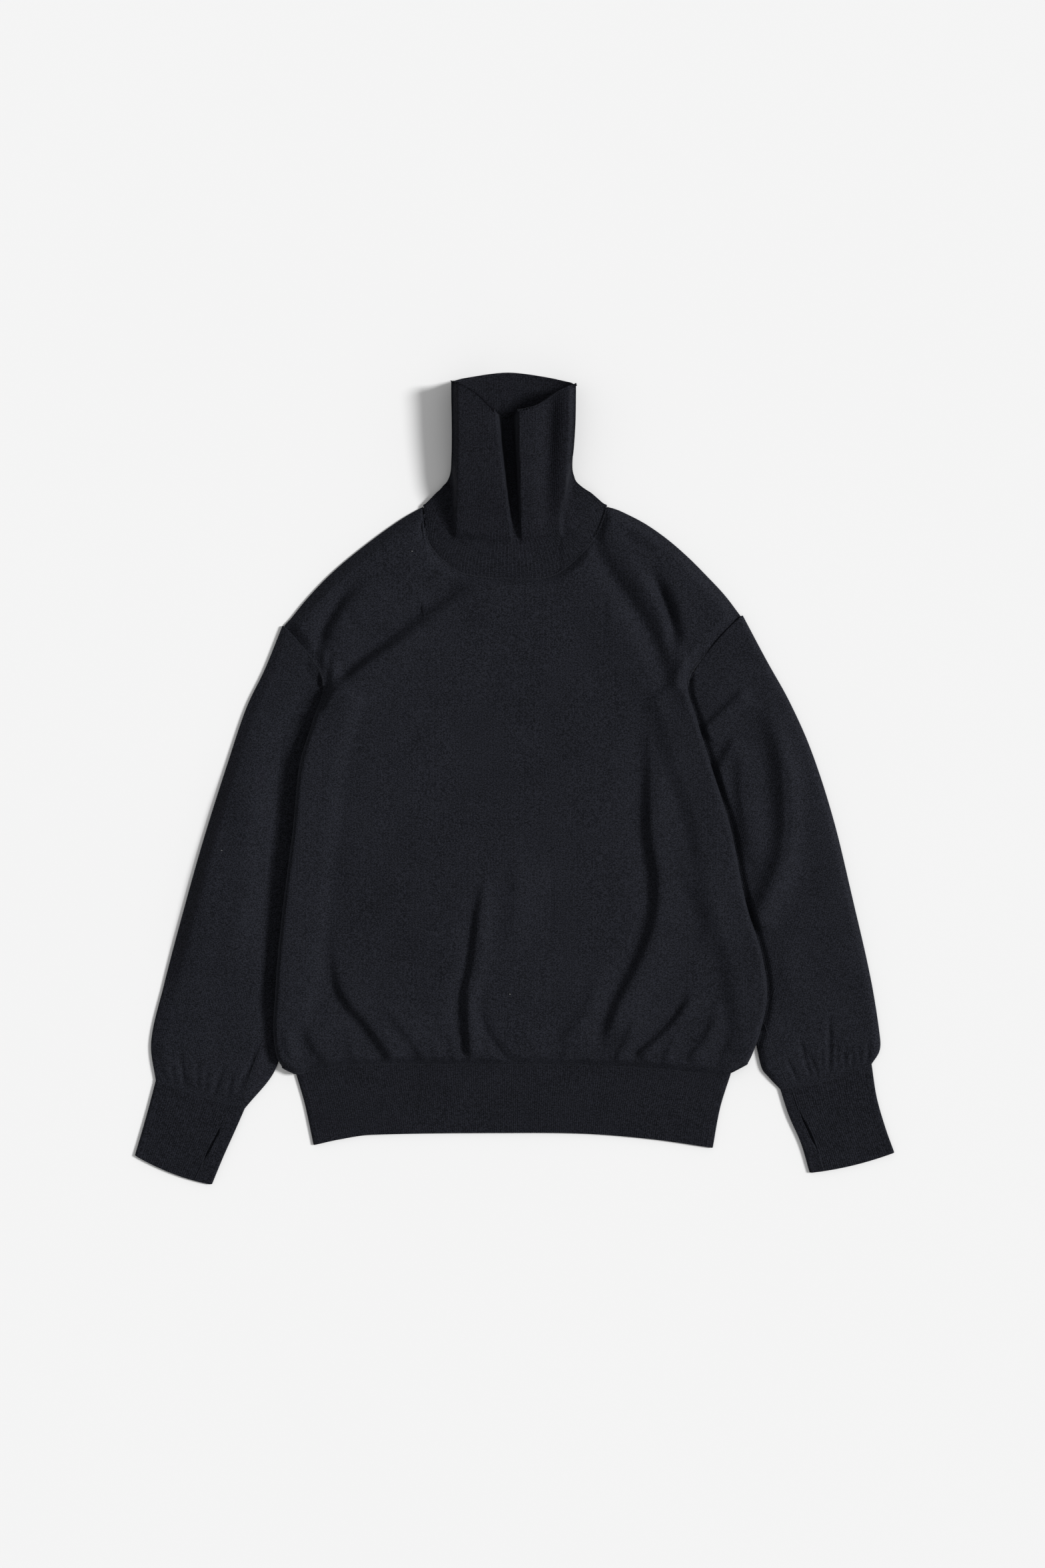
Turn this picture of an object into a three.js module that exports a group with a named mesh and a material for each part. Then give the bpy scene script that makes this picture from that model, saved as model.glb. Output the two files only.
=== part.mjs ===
// Turtleneck sweater laid out flat, front up. Millimetres, +Z up, +Y towards the collar.
// Left and right are as seen from above, with the collar at the top.
import * as THREE from "three";

// Driving sizes
const WALL = 1.5; // knit cloth
const SEAM_GAP = 0.3; // between two pieces at a seam
const INNER_GAP = 0.4; // air between the two layers of a flat tube
const TUBE_HEIGHT = 2 * WALL + INNER_GAP; // a flat tube with no folds in it
const EDGE_INSET = 2.4; // how far a flat tube's plain inside stays from its folded edge
const BODY_LIFT = TUBE_HEIGHT + 1.0; // the body's side lies over the sleeve
const LIFT_RAMP = 20; // width over which the back rises onto the sleeve
const LIFT_MARGIN = 8; // the rise is complete this far before the sleeve's hidden edge
const TUCK = 25; // how far the sleeve reaches under the body's side
const FRONT_EASE = 1.7; // the front lies this much above its lowest trough
const MOST_EASE = 3.6; // the highest that a fold lifts the front

const ink = { color: 0x1c1d22, roughness: 0.9, metalness: 0 };

// Small helpers
const lerp = (a, b, t) => a + (b - a) * t;
const clamp = (x, low, high) => Math.min(high, Math.max(low, x));
const smooth = (x) => {
  const t = clamp(x, 0, 1);
  return t * t * (3 - 2 * t);
};

// A value that runs smoothly through the rows of a table, read at x.
function along(rows, key, value, x) {
  const first = rows[0];
  const last = rows[rows.length - 1];
  if (x <= first[key]) return first[value];
  if (x >= last[key]) return last[value];
  const i = rows.findIndex((row) => row[key] > x) - 1;
  const slope = (k) => {
    const a = rows[Math.max(0, k - 1)];
    const b = rows[Math.min(rows.length - 1, k + 1)];
    return (b[value] - a[value]) / (b[key] - a[key]);
  };
  const [p, q] = [rows[i], rows[i + 1]];
  const h = q[key] - p[key];
  const t = (x - p[key]) / h;
  const [t2, t3] = [t * t, t * t * t];
  return (
    (2 * t3 - 3 * t2 + 1) * p[value] + (t3 - 2 * t2 + t) * h * slope(i) +
    (3 * t2 - 2 * t3) * q[value] + (t3 - t2) * h * slope(i + 1)
  );
}

// Body outline: one row per height, with the left and right edge there
const bodySides = [
  { y: -313, left: -240, right: 242 },
  { y: -294, left: -250, right: 252 },
  { y: -266, left: -254, right: 262 },
  { y: -227, left: -252, right: 269 },
  { y: -184, left: -249, right: 263 },
  { y: -128, left: -243, right: 246 },
  { y: -50, left: -233, right: 230 },
  { y: 17, left: -226, right: 209 },
  { y: 63, left: -212, right: 195 },
  { y: 104, left: -201, right: 185 },
  { y: 135, left: -219, right: 205 },
  { y: 161, left: -243, right: 232 },
  { y: 172, left: -243, right: 242 },
];
// Shoulders and neckline, from the left shoulder point to the right one
const shoulderPoint = { left: -243, right: 242 };
const neckCorner = { left: -96, right: 100, y: 289 };
const leftShoulder = [
  { x: -243, y: 161 },
  { x: -219, y: 191 },
  { x: -191, y: 220 },
  { x: -156, y: 249 },
  { x: -120, y: 275 },
  { x: -96, y: 289 },
];
const rightShoulder = [
  { x: 100, y: 289 },
  { x: 120, y: 278 },
  { x: 163, y: 251 },
  { x: 205, y: 208 },
  { x: 242, y: 172 },
];
const frontNeck = [
  { x: -96, y: 289 },
  { x: -92, y: 255 },
  { x: -69, y: 227 },
  { x: -50, y: 217 },
  { x: 0, y: 212 },
  { x: 39, y: 215 },
  { x: 64, y: 231 },
  { x: 90, y: 262 },
  { x: 100, y: 289 },
];
const backNeck = [
  { x: -96, y: 289 },
  { x: -60, y: 282 },
  { x: 0, y: 279 },
  { x: 60, y: 282 },
  { x: 100, y: 289 },
];
const hemSeam = [
  { x: -245, y: -304 },
  { x: -233, y: -311 },
  { x: -212, y: -307 },
  { x: -163, y: -302 },
  { x: 21, y: -302 },
  { x: 92, y: -303 },
  { x: 163, y: -307 },
  { x: 230, y: -312 },
  { x: 250, y: -300 },
];
const hemBottom = [
  { x: -212, y: -387 },
  { x: -184, y: -381 },
  { x: -149, y: -376 },
  { x: 0, y: -374 },
  { x: 78, y: -375 },
  { x: 149, y: -381 },
  { x: 212, y: -390 },
];
const hemSides = [
  { y: -390, left: -211, right: 212 },
  { y: -361, left: -217, right: 217 },
  { y: -343, left: -221, right: 221 },
  { y: -312, left: -230, right: 231 },
];

// Folds of the front: each a curve from start past middle to end, below the ease (depth) or above it
const bodyFolds = [
  { fold: "left shoulder drop", start: [-40, 214], middle: [-106, 168], end: [-200, 84], width: 13, depth: 1.7 },
  { fold: "left shoulder crest", start: [-60, 190], middle: [-120, 140], end: [-190, 58], width: 20, depth: -1.7 },
  { fold: "left cap trough", start: [-149, 217], middle: [-224, 165], end: [-216, 92], width: 10, depth: 1.5 },
  { fold: "left cap pinch", start: [-191, 138], middle: [-202, 112], end: [-203, 82], width: 7, depth: 1.5 },
  { fold: "left cap crest", start: [-146, 188], middle: [-196, 172], end: [-209, 122], width: 13, depth: -1.3 },
  { fold: "right neck trough", start: [88, 250], middle: [104, 210], end: [177, 60], width: 14, depth: 1.6 },
  { fold: "right neck crest", start: [118, 236], middle: [128, 196], end: [160, 140], width: 14, depth: -1.8 },
  { fold: "right armhole groove", start: [145, 220], middle: [166, 192], end: [171, 145], width: 8, depth: 1.7 },
  { fold: "right cap crest", start: [172, 222], middle: [190, 190], end: [192, 150], width: 12, depth: -1.2 },
  { fold: "right shoulder dent", start: [106, 261], middle: [122, 250], end: [145, 244], width: 8, depth: 1.0 },
  { fold: "right long trough, upper", start: [136, 92], middle: [146, 28], end: [139, -43], width: 15, depth: 1.4 },
  { fold: "right long trough, lower", start: [139, -43], middle: [156, -170], end: [91, -301], width: 15, depth: 1.7 },
  { fold: "right long crest", start: [168, 40], middle: [164, -20], end: [166, -70], width: 16, depth: -1.3 },
  { fold: "right flank trough, upper", start: [166, -57], middle: [206, -120], end: [185, -205], width: 11, depth: 1.5 },
  { fold: "right flank trough, lower", start: [185, -205], middle: [187, -256], end: [166, -297], width: 10, depth: 1.5 },
  { fold: "right flank crest", start: [176, -130], middle: [166, -190], end: [156, -236], width: 14, depth: -1.8 },
  { fold: "right hem crease", start: [190, -223], middle: [172, -256], end: [144, -290], width: 9, depth: 1.3 },
  { fold: "right hem pleat", start: [131, -258], middle: [120, -280], end: [113, -299], width: 8, depth: 1.2 },
  { fold: "right corner pleat", start: [218, -262], middle: [204, -284], end: [191, -304], width: 9, depth: 1.3 },
  { fold: "right corner crest", start: [226, -160], middle: [222, -220], end: [206, -270], width: 18, depth: -1.5 },
  { fold: "centre trough", start: [-46, -106], middle: [-66, -224], end: [-46, -300], width: 13, depth: 1.7 },
  { fold: "centre crest", start: [-26, -110], middle: [-34, -190], end: [-40, -246], width: 11, depth: -1.4 },
  { fold: "centre hem crease", start: [-40, -160], middle: [-50, -286], end: [21, -294], width: 10, depth: 1.2 },
  { fold: "left outer trough", start: [-195, -142], middle: [-200, -230], end: [-138, -299], width: 13, depth: 1.6 },
  { fold: "left outer crest", start: [-168, -150], middle: [-172, -206], end: [-134, -262], width: 13, depth: -1.3 },
  { fold: "left inner trough", start: [-149, -213], middle: [-128, -258], end: [-99, -301], width: 11, depth: 1.4 },
  { fold: "left corner trough", start: [-230, -246], middle: [-216, -280], end: [-195, -304], width: 11, depth: 1.4 },
  { fold: "left corner crest", start: [-226, -170], middle: [-214, -236], end: [-180, -290], width: 13, depth: -1.3 },
  { fold: "right centre trough", start: [95, -135], middle: [84, -210], end: [50, -292], width: 15, depth: 1.0 },
  { fold: "chest press mark", start: [-100, -74], middle: [-40, -80], end: [60, -72], width: 14, depth: 0.5 },
  { fold: "chest crest, left", start: [-110, 120], middle: [-150, 10], end: [-150, -110], width: 46, depth: -0.9 },
  { fold: "chest crest, right", start: [60, 150], middle: [90, 30], end: [80, -90], width: 46, depth: -0.9 },
];
const sleeveFolds = [
  { fold: "right upper dent", start: [250, 101], middle: [226, 78], end: [202, 53], width: 9, depth: -1.3 },
  { fold: "right elbow dent", start: [241, 72], middle: [232, 40], end: [216, 2], width: 9, depth: -1.1 },
  { fold: "right long crest, upper", start: [276, 80], middle: [300, 20], end: [287, -45], width: 15, depth: 2.8 },
  { fold: "right long crest, lower", start: [287, -45], middle: [290, -110], end: [266, -170], width: 16, depth: 2.4 },
  { fold: "right outer swell", start: [300, 20], middle: [330, -110], end: [352, -230], width: 26, depth: 1.7 },
  { fold: "right wrist crest, inner", start: [298, -240], middle: [304, -280], end: [308, -318], width: 9, depth: 2.0 },
  { fold: "right wrist crest, middle", start: [318, -228], middle: [326, -270], end: [328, -314], width: 9, depth: 2.2 },
  { fold: "right wrist crest, outer", start: [346, -226], middle: [352, -270], end: [352, -308], width: 10, depth: 2.0 },
  { fold: "right wrist crest, edge", start: [368, -230], middle: [372, -266], end: [368, -306], width: 8, depth: 1.6 },
  { fold: "left long crest", start: [-256, 100], middle: [-276, 10], end: [-282, -80], width: 20, depth: 2.2 },
  { fold: "left inner crest", start: [-262, -90], middle: [-280, -160], end: [-282, -240], width: 20, depth: 1.7 },
  { fold: "left outer swell", start: [-312, -60], middle: [-332, -150], end: [-352, -240], width: 26, depth: 1.6 },
  { fold: "left wrist crest, inner", start: [-292, -262], middle: [-296, -300], end: [-300, -338], width: 9, depth: 1.9 },
  { fold: "left wrist crest, middle", start: [-318, -252], middle: [-324, -294], end: [-326, -330], width: 10, depth: 2.0 },
  { fold: "left wrist crest, outer", start: [-342, -258], middle: [-350, -296], end: [-350, -324], width: 9, depth: 1.8 },
  { fold: "left wrist crest, edge", start: [-366, -256], middle: [-370, -290], end: [-366, -320], width: 8, depth: 1.4 },
];

// Each fold's curve as a short run of points, worked out once
const FOLD_STEPS = 10;
function layFolds(table) {
  return table.map((fold) => {
    const [start, middle, end] = [fold.start, fold.middle, fold.end].map((p) => new THREE.Vector2(...p));
    const control = middle.clone().multiplyScalar(2).sub(start.clone().add(end).multiplyScalar(0.5));
    const points = new THREE.QuadraticBezierCurve(start, control, end).getPoints(FOLD_STEPS);
    return { ...fold, points };
  });
}

// Height that the folds add at a point. A fold fades out over its last third at each end.
function foldHeight(folds, x, y) {
  let height = 0;
  for (const { points, width, depth } of folds) {
    let nearest = Infinity;
    let place = 0;
    for (let i = 0; i < FOLD_STEPS; i++) {
      const [p, q] = [points[i], points[i + 1]];
      const [dx, dy] = [q.x - p.x, q.y - p.y];
      const t = clamp(((x - p.x) * dx + (y - p.y) * dy) / (dx * dx + dy * dy), 0, 1);
      const distance = Math.hypot(x - p.x - dx * t, y - p.y - dy * t);
      if (distance < nearest) [nearest, place] = [distance, (i + t) / FOLD_STEPS];
    }
    if (nearest > 2.5 * width) continue;
    const ends = smooth(place * 3 + 0.15) * smooth((1 - place) * 3 + 0.15);
    height += depth * ends * Math.exp(-((nearest / width) ** 2));
  }
  return height;
}
const bodyRelief = layFolds(bodyFolds);
const sleeveRelief = layFolds(sleeveFolds);

// The body's side edge at a height, and how far the sleeve reaches under it
const ARMHOLE_FOOT = 104;
const HEM_CORNER = -304;
const sideEdge = (side, y) => along(bodySides, "y", side, y);
const tuckAt = (y) => TUCK * smooth((ARMHOLE_FOOT - y) / 24) * smooth((y - HEM_CORNER) / 90);

// The body rises over the sleeve's hidden edge, and comes down again towards the shoulder point
function bodyLift(x, y) {
  const reach = Math.abs(sideEdge(x < 0 ? "left" : "right", y));
  const rampEnd = reach - tuckAt(y) - LIFT_MARGIN;
  const across = smooth((Math.abs(x) - (rampEnd - LIFT_RAMP)) / LIFT_RAMP);
  return BODY_LIFT * across * (1 - smooth((y - ARMHOLE_FOOT) / 57));
}

// The front's air over the back: folds, fading out at the panel's outline
const EASE_FADE = 16;
function frontEase(x, y, fromEdge) {
  const ease = clamp(FRONT_EASE - foldHeight(bodyRelief, x, y), 0, MOST_EASE);
  return ease * smooth(fromEdge / EASE_FADE + 0.12);
}

// A closed solid from two grids of points, an outer and an inner one, with a rim where they end.
// A wrapped grid joins its last column to its first.
function wallSolid(outer, inner, wrapped) {
  const columns = outer.length;
  const rows = outer[0].length;
  const positions = [];
  for (const grid of [outer, inner]) for (const column of grid) for (const p of column) positions.push(...p);
  const at = (layer, i, j) => (layer * columns + (i % columns)) * rows + j;
  const index = [];
  const quad = (a, b, c, d) => index.push(a, b, c, a, c, d);
  const lastColumn = wrapped ? columns : columns - 1;
  for (let i = 0; i < lastColumn; i++) {
    for (let j = 0; j < rows - 1; j++) {
      quad(at(0, i, j), at(0, i + 1, j), at(0, i + 1, j + 1), at(0, i, j + 1));
      quad(at(1, i, j), at(1, i, j + 1), at(1, i + 1, j + 1), at(1, i + 1, j));
    }
    quad(at(0, i, 0), at(1, i, 0), at(1, i + 1, 0), at(0, i + 1, 0));
    quad(at(0, i, rows - 1), at(0, i + 1, rows - 1), at(1, i + 1, rows - 1), at(1, i, rows - 1));
  }
  if (!wrapped) {
    for (let j = 0; j < rows - 1; j++) {
      quad(at(0, 0, j), at(0, 0, j + 1), at(1, 0, j + 1), at(1, 0, j));
      const end = columns - 1;
      quad(at(0, end, j), at(1, end, j), at(1, end, j + 1), at(0, end, j + 1));
    }
  }
  const geometry = new THREE.BufferGeometry();
  geometry.setAttribute("position", new THREE.Float32BufferAttribute(positions, 3));
  geometry.setIndex(index);
  geometry.computeVertexNormals();
  return geometry;
}

// Body panels. Columns stand closer near the two steep corners of the neckline.
const SHOULDER_COLUMNS = 11;
const NECK_COLUMNS = 14;
const span = shoulderPoint.right - shoulderPoint.left;
function panelColumns(shoulder, neck) {
  const stations = [];
  for (let i = 0; i < shoulder; i++) stations.push(lerp(shoulderPoint.left, neckCorner.left, i / shoulder));
  for (let i = 0; i < neck; i++) {
    const turn = (1 - Math.cos((Math.PI * i) / neck)) / 2;
    stations.push(lerp(neckCorner.left, neckCorner.right, turn));
  }
  for (let i = 0; i <= shoulder; i++) stations.push(lerp(neckCorner.right, shoulderPoint.right, i / shoulder));
  return stations;
}
function bodyTop(neck, x) {
  if (x <= neckCorner.left) return along(leftShoulder, "x", "y", x);
  if (x >= neckCorner.right) return along(rightShoulder, "x", "y", x);
  return along(neck, "x", "y", x);
}
// A panel's plan: the station sets the place between the two sides, v runs from hem to top
function panelPoint(neck, station, v) {
  const u = (station - shoulderPoint.left) / span;
  const top = bodyTop(neck, station);
  const bottom = along(hemSeam, "x", "y", lerp(hemSeam[0].x, hemSeam.at(-1).x, u));
  const y = lerp(bottom, top, v);
  const x = lerp(sideEdge("left", y), sideEdge("right", y), u);
  const fromSide = Math.min(x - sideEdge("left", y), sideEdge("right", y) - x);
  const fromEnd = Math.min(y - bottom, top - y);
  return { x, y, fromEdge: Math.min(fromSide, fromEnd) };
}
function panelGrids(neck, columns, rows, baseAt) {
  const upper = [];
  const lower = [];
  for (const station of columns) {
    const column = Array.from({ length: rows + 1 }, (_, j) => panelPoint(neck, station, j / rows));
    upper.push(column.map((p) => [p.x, p.y, baseAt(p) + WALL]));
    lower.push(column.map((p) => [p.x, p.y, baseAt(p)]));
  }
  return [upper, lower];
}
const SLOPE_EASE = 1.6; // more air between front and back where they rise onto a sleeve
const FRONT_ROWS = 38;
const BACK_ROWS = 19;
function makeFront() {
  const base = (p) => {
    const lift = bodyLift(p.x, p.y);
    const onSlope = 4 * (lift / BODY_LIFT) * (1 - lift / BODY_LIFT);
    return WALL + SEAM_GAP + lift + SLOPE_EASE * onSlope + frontEase(p.x, p.y, p.fromEdge);
  };
  const grids = panelGrids(frontNeck, panelColumns(SHOULDER_COLUMNS, NECK_COLUMNS), FRONT_ROWS, base);
  return wallSolid(...grids, false);
}
function makeBack() {
  const base = (p) => bodyLift(p.x, p.y);
  const grids = panelGrids(backNeck, panelColumns(SHOULDER_COLUMNS, 6), BACK_ROWS, base);
  return wallSolid(...grids, false);
}

// A flat tube lying on its back: plan gives a point across (0 to 1) and along (0 to 1), and folds
// its added height on top. A cut leaves the ring open on top, at a place across that runs from
// cut.top to cut.end. A mirrored tube runs from right to left.
function flatTube({ plan, across, stations, folds, width, cut = null, mirrored = false }) {
  const rows = stations + 1;
  const stops = Array.from({ length: across + 1 }, (_, i) => (1 - Math.cos((Math.PI * i) / across)) / 2);
  const ring = []; // each place is [across, layer], with layer 1 on top, 0 at a folded edge and -1 below
  const topStops = stops.slice(1, -1).map((s) => [s, 1]);
  const lowStops = stops.slice(1, -1).map((s) => [s, -1]);
  if (!cut) {
    ring.push([0, 0], ...lowStops, [1, 0], ...topStops.reverse());
  } else {
    const before = topStops.filter(([s]) => s < Math.min(cut.top, cut.end) - 0.02).reverse();
    const after = topStops.filter(([s]) => s > Math.max(cut.top, cut.end) + 0.02).reverse();
    ring.push([cut.top, 1, -1], ...before, [0, 0], ...lowStops, [1, 0], ...after, [cut.top, 1, 1]);
  }
  const outer = [];
  const inner = [];
  for (const [s, layer, cutSide = 0] of ring) {
    const outerColumn = [];
    const innerColumn = [];
    for (let j = 0; j < rows; j++) {
      const t = j / stations;
      const w = width(t);
      const shift = cutSide ? (cut.end - cut.top) * t + (cutSide * cut.gap(t)) / (2 * w) : 0;
      const [x, y] = plan(s + shift, t);
      const [ix, iy] = plan(lerp(EDGE_INSET / w, 1 - EDGE_INSET / w, s) + shift, t);
      const top = TUBE_HEIGHT + folds(x, y);
      const innerTop = TUBE_HEIGHT + folds(ix, iy) - WALL;
      const z = layer === 1 ? top : layer === 0 ? TUBE_HEIGHT / 2 : 0;
      const iz = layer === 1 ? innerTop : layer === 0 ? TUBE_HEIGHT / 2 : WALL;
      outerColumn.push([x, y, z]);
      innerColumn.push([ix, iy, iz]);
    }
    outer.push(outerColumn);
    inner.push(innerColumn);
  }
  if (mirrored) for (const grid of [outer, inner]) grid.reverse();
  return wallSolid(outer, inner, !cut);
}

// Sleeves: one row per section, from the armhole to the cuff, with the outer and inner edge there.
// bow bends a section down towards the cuff in its middle.
const leftSleeve = [
  { t: 0.0, outerX: -244.8, outerY: 160, innerX: -194, innerY: 92, bow: -5 },
  { t: 0.1, outerX: -263, outerY: 118, innerX: -195, innerY: 44, bow: 0 },
  { t: 0.22, outerX: -283, outerY: 76, innerX: -203, innerY: 14, bow: 0 },
  { t: 0.36, outerX: -303, outerY: 17, innerX: -207, innerY: -22, bow: 0 },
  { t: 0.52, outerX: -328, outerY: -62, innerX: -216, innerY: -92, bow: 0 },
  { t: 0.68, outerX: -350, outerY: -140, innerX: -225, innerY: -170, bow: 0 },
  { t: 0.84, outerX: -371, outerY: -220, innerX: -238, innerY: -247, bow: 0 },
  { t: 0.93, outerX: -384, outerY: -278, innerX: -252, innerY: -307, bow: 2 },
  { t: 1.0, outerX: -379, outerY: -320, innerX: -284, innerY: -348, bow: 3 },
];
const rightSleeve = [
  { t: 0.0, outerX: 243.6, outerY: 171, innerX: 173, innerY: 84, bow: -5 },
  { t: 0.1, outerX: 263, outerY: 128, innerX: 177, innerY: 46, bow: 0 },
  { t: 0.22, outerX: 287, outerY: 83, innerX: 188, innerY: 14, bow: 0 },
  { t: 0.36, outerX: 312, outerY: 30, innerX: 198, innerY: -22, bow: 0 },
  { t: 0.52, outerX: 336, outerY: -43, innerX: 216, innerY: -92, bow: 0 },
  { t: 0.68, outerX: 357, outerY: -128, innerX: 237, innerY: -170, bow: 0 },
  { t: 0.84, outerX: 376, outerY: -212, innerX: 252, innerY: -247, bow: 0 },
  { t: 0.93, outerX: 386, outerY: -272, innerX: 263, innerY: -304, bow: 2 },
  { t: 1.0, outerX: 380, outerY: -302, innerX: 283, innerY: -328, bow: 4 },
];
// A point between a section's two edges, bowed in the middle
function sectionPoint(rows, s, t) {
  const [ox, oy, ix, iy, bow] = ["outerX", "outerY", "innerX", "innerY", "bow"].map((k) => along(rows, "t", k, t));
  return [lerp(ox, ix, s), lerp(oy, iy, s) - bow * 4 * s * (1 - s)];
}
const sectionWidth = (rows, t) => {
  const [a, b] = [sectionPoint(rows, 0, t), sectionPoint(rows, 1, t)];
  return Math.hypot(b[0] - a[0], b[1] - a[1]);
};
// Folds on a sleeve fade out where the body's side lies over it
const SLEEVE_REST = 0.9; // ease of a sleeve with no folds in it
function sleeveHeight(x, y) {
  const side = x < 0 ? "left" : "right";
  const clear = Math.abs(x) - Math.abs(sideEdge(side, clamp(y, HEM_CORNER, ARMHOLE_FOOT)));
  const free = smooth((clear - 2) / 16);
  return clamp(SLEEVE_REST + foldHeight(sleeveRelief, x, y), 0, 4) * free;
}
function makeSleeve(rows) {
  return flatTube({
    plan: (s, t) => sectionPoint(rows, s, t),
    width: (t) => sectionWidth(rows, t),
    across: 10,
    stations: 18,
    folds: sleeveHeight,
    mirrored: rows[0].outerX > 0,
  });
}

// Cuffs: a strip wrapped into a flat tube. Its two ends meet at a seam that opens into a thumb slit.
const SLIT_WIDTH = 3;
const CUFF_EASE = 0.3; // a cuff is a little fuller than its bare layers
const leftCuff = [
  { t: 0.0, outerX: -379.1, outerY: -320.4, innerX: -284.1, innerY: -348.4, bow: 3 },
  { t: 0.35, outerX: -387, outerY: -350, innerX: -293, innerY: -370, bow: 3 },
  { t: 0.7, outerX: -395, outerY: -378, innerX: -303, innerY: -396, bow: 6 },
  { t: 1.0, outerX: -401, outerY: -398, innerX: -310, innerY: -424, bow: 12 },
];
const rightCuff = [
  { t: 0.0, outerX: 380.1, outerY: -302.4, innerX: 283.1, innerY: -328.4, bow: 4 },
  { t: 0.35, outerX: 388, outerY: -337, innerX: 292, innerY: -354, bow: 3 },
  { t: 0.7, outerX: 396, outerY: -370, innerX: 302, innerY: -380, bow: 5 },
  { t: 1.0, outerX: 401, outerY: -394, innerX: 311, innerY: -408, bow: 7 },
];
const slitGap = (t) => SEAM_GAP + (SLIT_WIDTH - SEAM_GAP) * smooth((t - 0.34) / 0.12) * smooth((0.94 - t) / 0.14);
function makeCuff(rows, top, end) {
  return flatTube({
    plan: (s, t) => sectionPoint(rows, s, t),
    width: (t) => sectionWidth(rows, t),
    across: 10,
    stations: 9,
    folds: () => CUFF_EASE,
    cut: { top, end, gap: slitGap },
    mirrored: rows[0].outerX > 0,
  });
}

// Hem band: a flat tube under the body's lower edge
const HEM_EASE = 0.2;
function hemPoint(s, t) {
  const seamX = lerp(hemSides.at(-1).left, hemSides.at(-1).right, s);
  const topY = along(hemSeam, "x", "y", seamX) - SEAM_GAP - 0.6;
  const bottomY = along(hemBottom, "x", "y", lerp(hemBottom[0].x, hemBottom.at(-1).x, s));
  const y = lerp(topY, bottomY, t);
  return [lerp(along(hemSides, "y", "left", y), along(hemSides, "y", "right", y), s), y];
}
function makeHemBand() {
  return flatTube({
    plan: hemPoint,
    width: () => hemSides[0].right - hemSides[0].left,
    across: 20,
    stations: 4,
    folds: () => HEM_EASE,
  });
}

// Collar: sections from the neck seam to the mouth. Each is a closed loop: a front arc that dips to
// frontY and rises to frontZ, and a back arc that reaches backY at backZ; side is where the two meet.
const collarSections = [
  { t: 0.0, left: -94.6, right: 98.6, sideY: 291, frontY: 213.4, backY: 285, sideZ: 3.4, frontZ: 5.2, backZ: 0, dent: 0 },
  { t: 0.1, left: -92, right: 95, sideY: 293, frontY: 226, backY: 290, sideZ: 4, frontZ: 7.4, backZ: 0, dent: 0 },
  { t: 0.2, left: -86, right: 88, sideY: 299, frontY: 240, backY: 296, sideZ: 6, frontZ: 9, backZ: 0, dent: 0 },
  { t: 0.29, left: -78, right: 78, sideY: 307, frontY: 251, backY: 304, sideZ: 8, frontZ: 12, backZ: 0, dent: 0.5 },
  { t: 0.36, left: -72, right: 69, sideY: 313, frontY: 257, backY: 312, sideZ: 10, frontZ: 19, backZ: 0, dent: 2 },
  { t: 0.43, left: -68, right: 62, sideY: 320, frontY: 266, backY: 322, sideZ: 12, frontZ: 26, backZ: 0, dent: 5 },
  { t: 0.53, left: -65, right: 59, sideY: 332, frontY: 286, backY: 338, sideZ: 13, frontZ: 31, backZ: 0, dent: 8 },
  { t: 0.65, left: -64, right: 61, sideY: 348, frontY: 312, backY: 358, sideZ: 14, frontZ: 34, backZ: 0, dent: 10 },
  { t: 0.78, left: -64, right: 64, sideY: 372, frontY: 342, backY: 384, sideZ: 14, frontZ: 36, backZ: 0, dent: 12 },
  { t: 0.9, left: -65, right: 66, sideY: 398, frontY: 370, backY: 410, sideZ: 14, frontZ: 37, backZ: 0, dent: 13 },
  { t: 1.0, left: -65, right: 66, sideY: 417, frontY: 390, backY: 431, sideZ: 14, frontZ: 38, backZ: 0, dent: 14 },
];
// Dents in the collar's front, each with its place across, half-width and share of the section's dent
const collarDents = [
  { dent: "valley", x: -8, width: 11, share: 1 },
  { dent: "right trough", x: 40, width: 9, share: 0.35 },
];
const ARC_FULLNESS = 0.55; // below 1 the tube's sides stand up more steeply
const NECK_EASE = 1.4; // the collar's seam stays this far inside the neckline's curve
const NECK_FULLNESS = 0.3; // at the neck seam it is flat, with round sides
function collarPoint(turn, t) {
  const at = (key) => along(collarSections, "t", key, t);
  const [left, right, sideY, sideZ] = ["left", "right", "sideY", "sideZ"].map(at);
  const reach = Math.sin(turn);
  const x = lerp(left, right, (1 - Math.cos(turn)) / 2);
  const fullness = lerp(NECK_FULLNESS, ARC_FULLNESS, smooth(t / 0.4));
  const bulge = Math.abs(reach) ** fullness;
  if (reach < 0) return [x, lerp(sideY, at("backY"), -reach), lerp(sideZ, at("backZ"), bulge)];
  let z = lerp(sideZ, at("frontZ"), bulge);
  for (const { x: place, width, share } of collarDents) {
    z -= at("dent") * share * Math.exp(-(((x - place) / width) ** 2)) * smooth(bulge * 2);
  }
  const outward = NECK_EASE * clamp((x - lerp(left, right, 0.5)) / 60, -1, 1);
  const seamY = along(frontNeck, "x", "y", x + outward) + NECK_EASE;
  const ownY = lerp(sideY, at("frontY"), bulge);
  return [x, lerp(seamY, ownY, smooth(t / 0.3)), z];
}
const COLLAR_COLUMNS = 40;
const COLLAR_ROWS = 15;
const COLLAR_WALL = 1.7;
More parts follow.
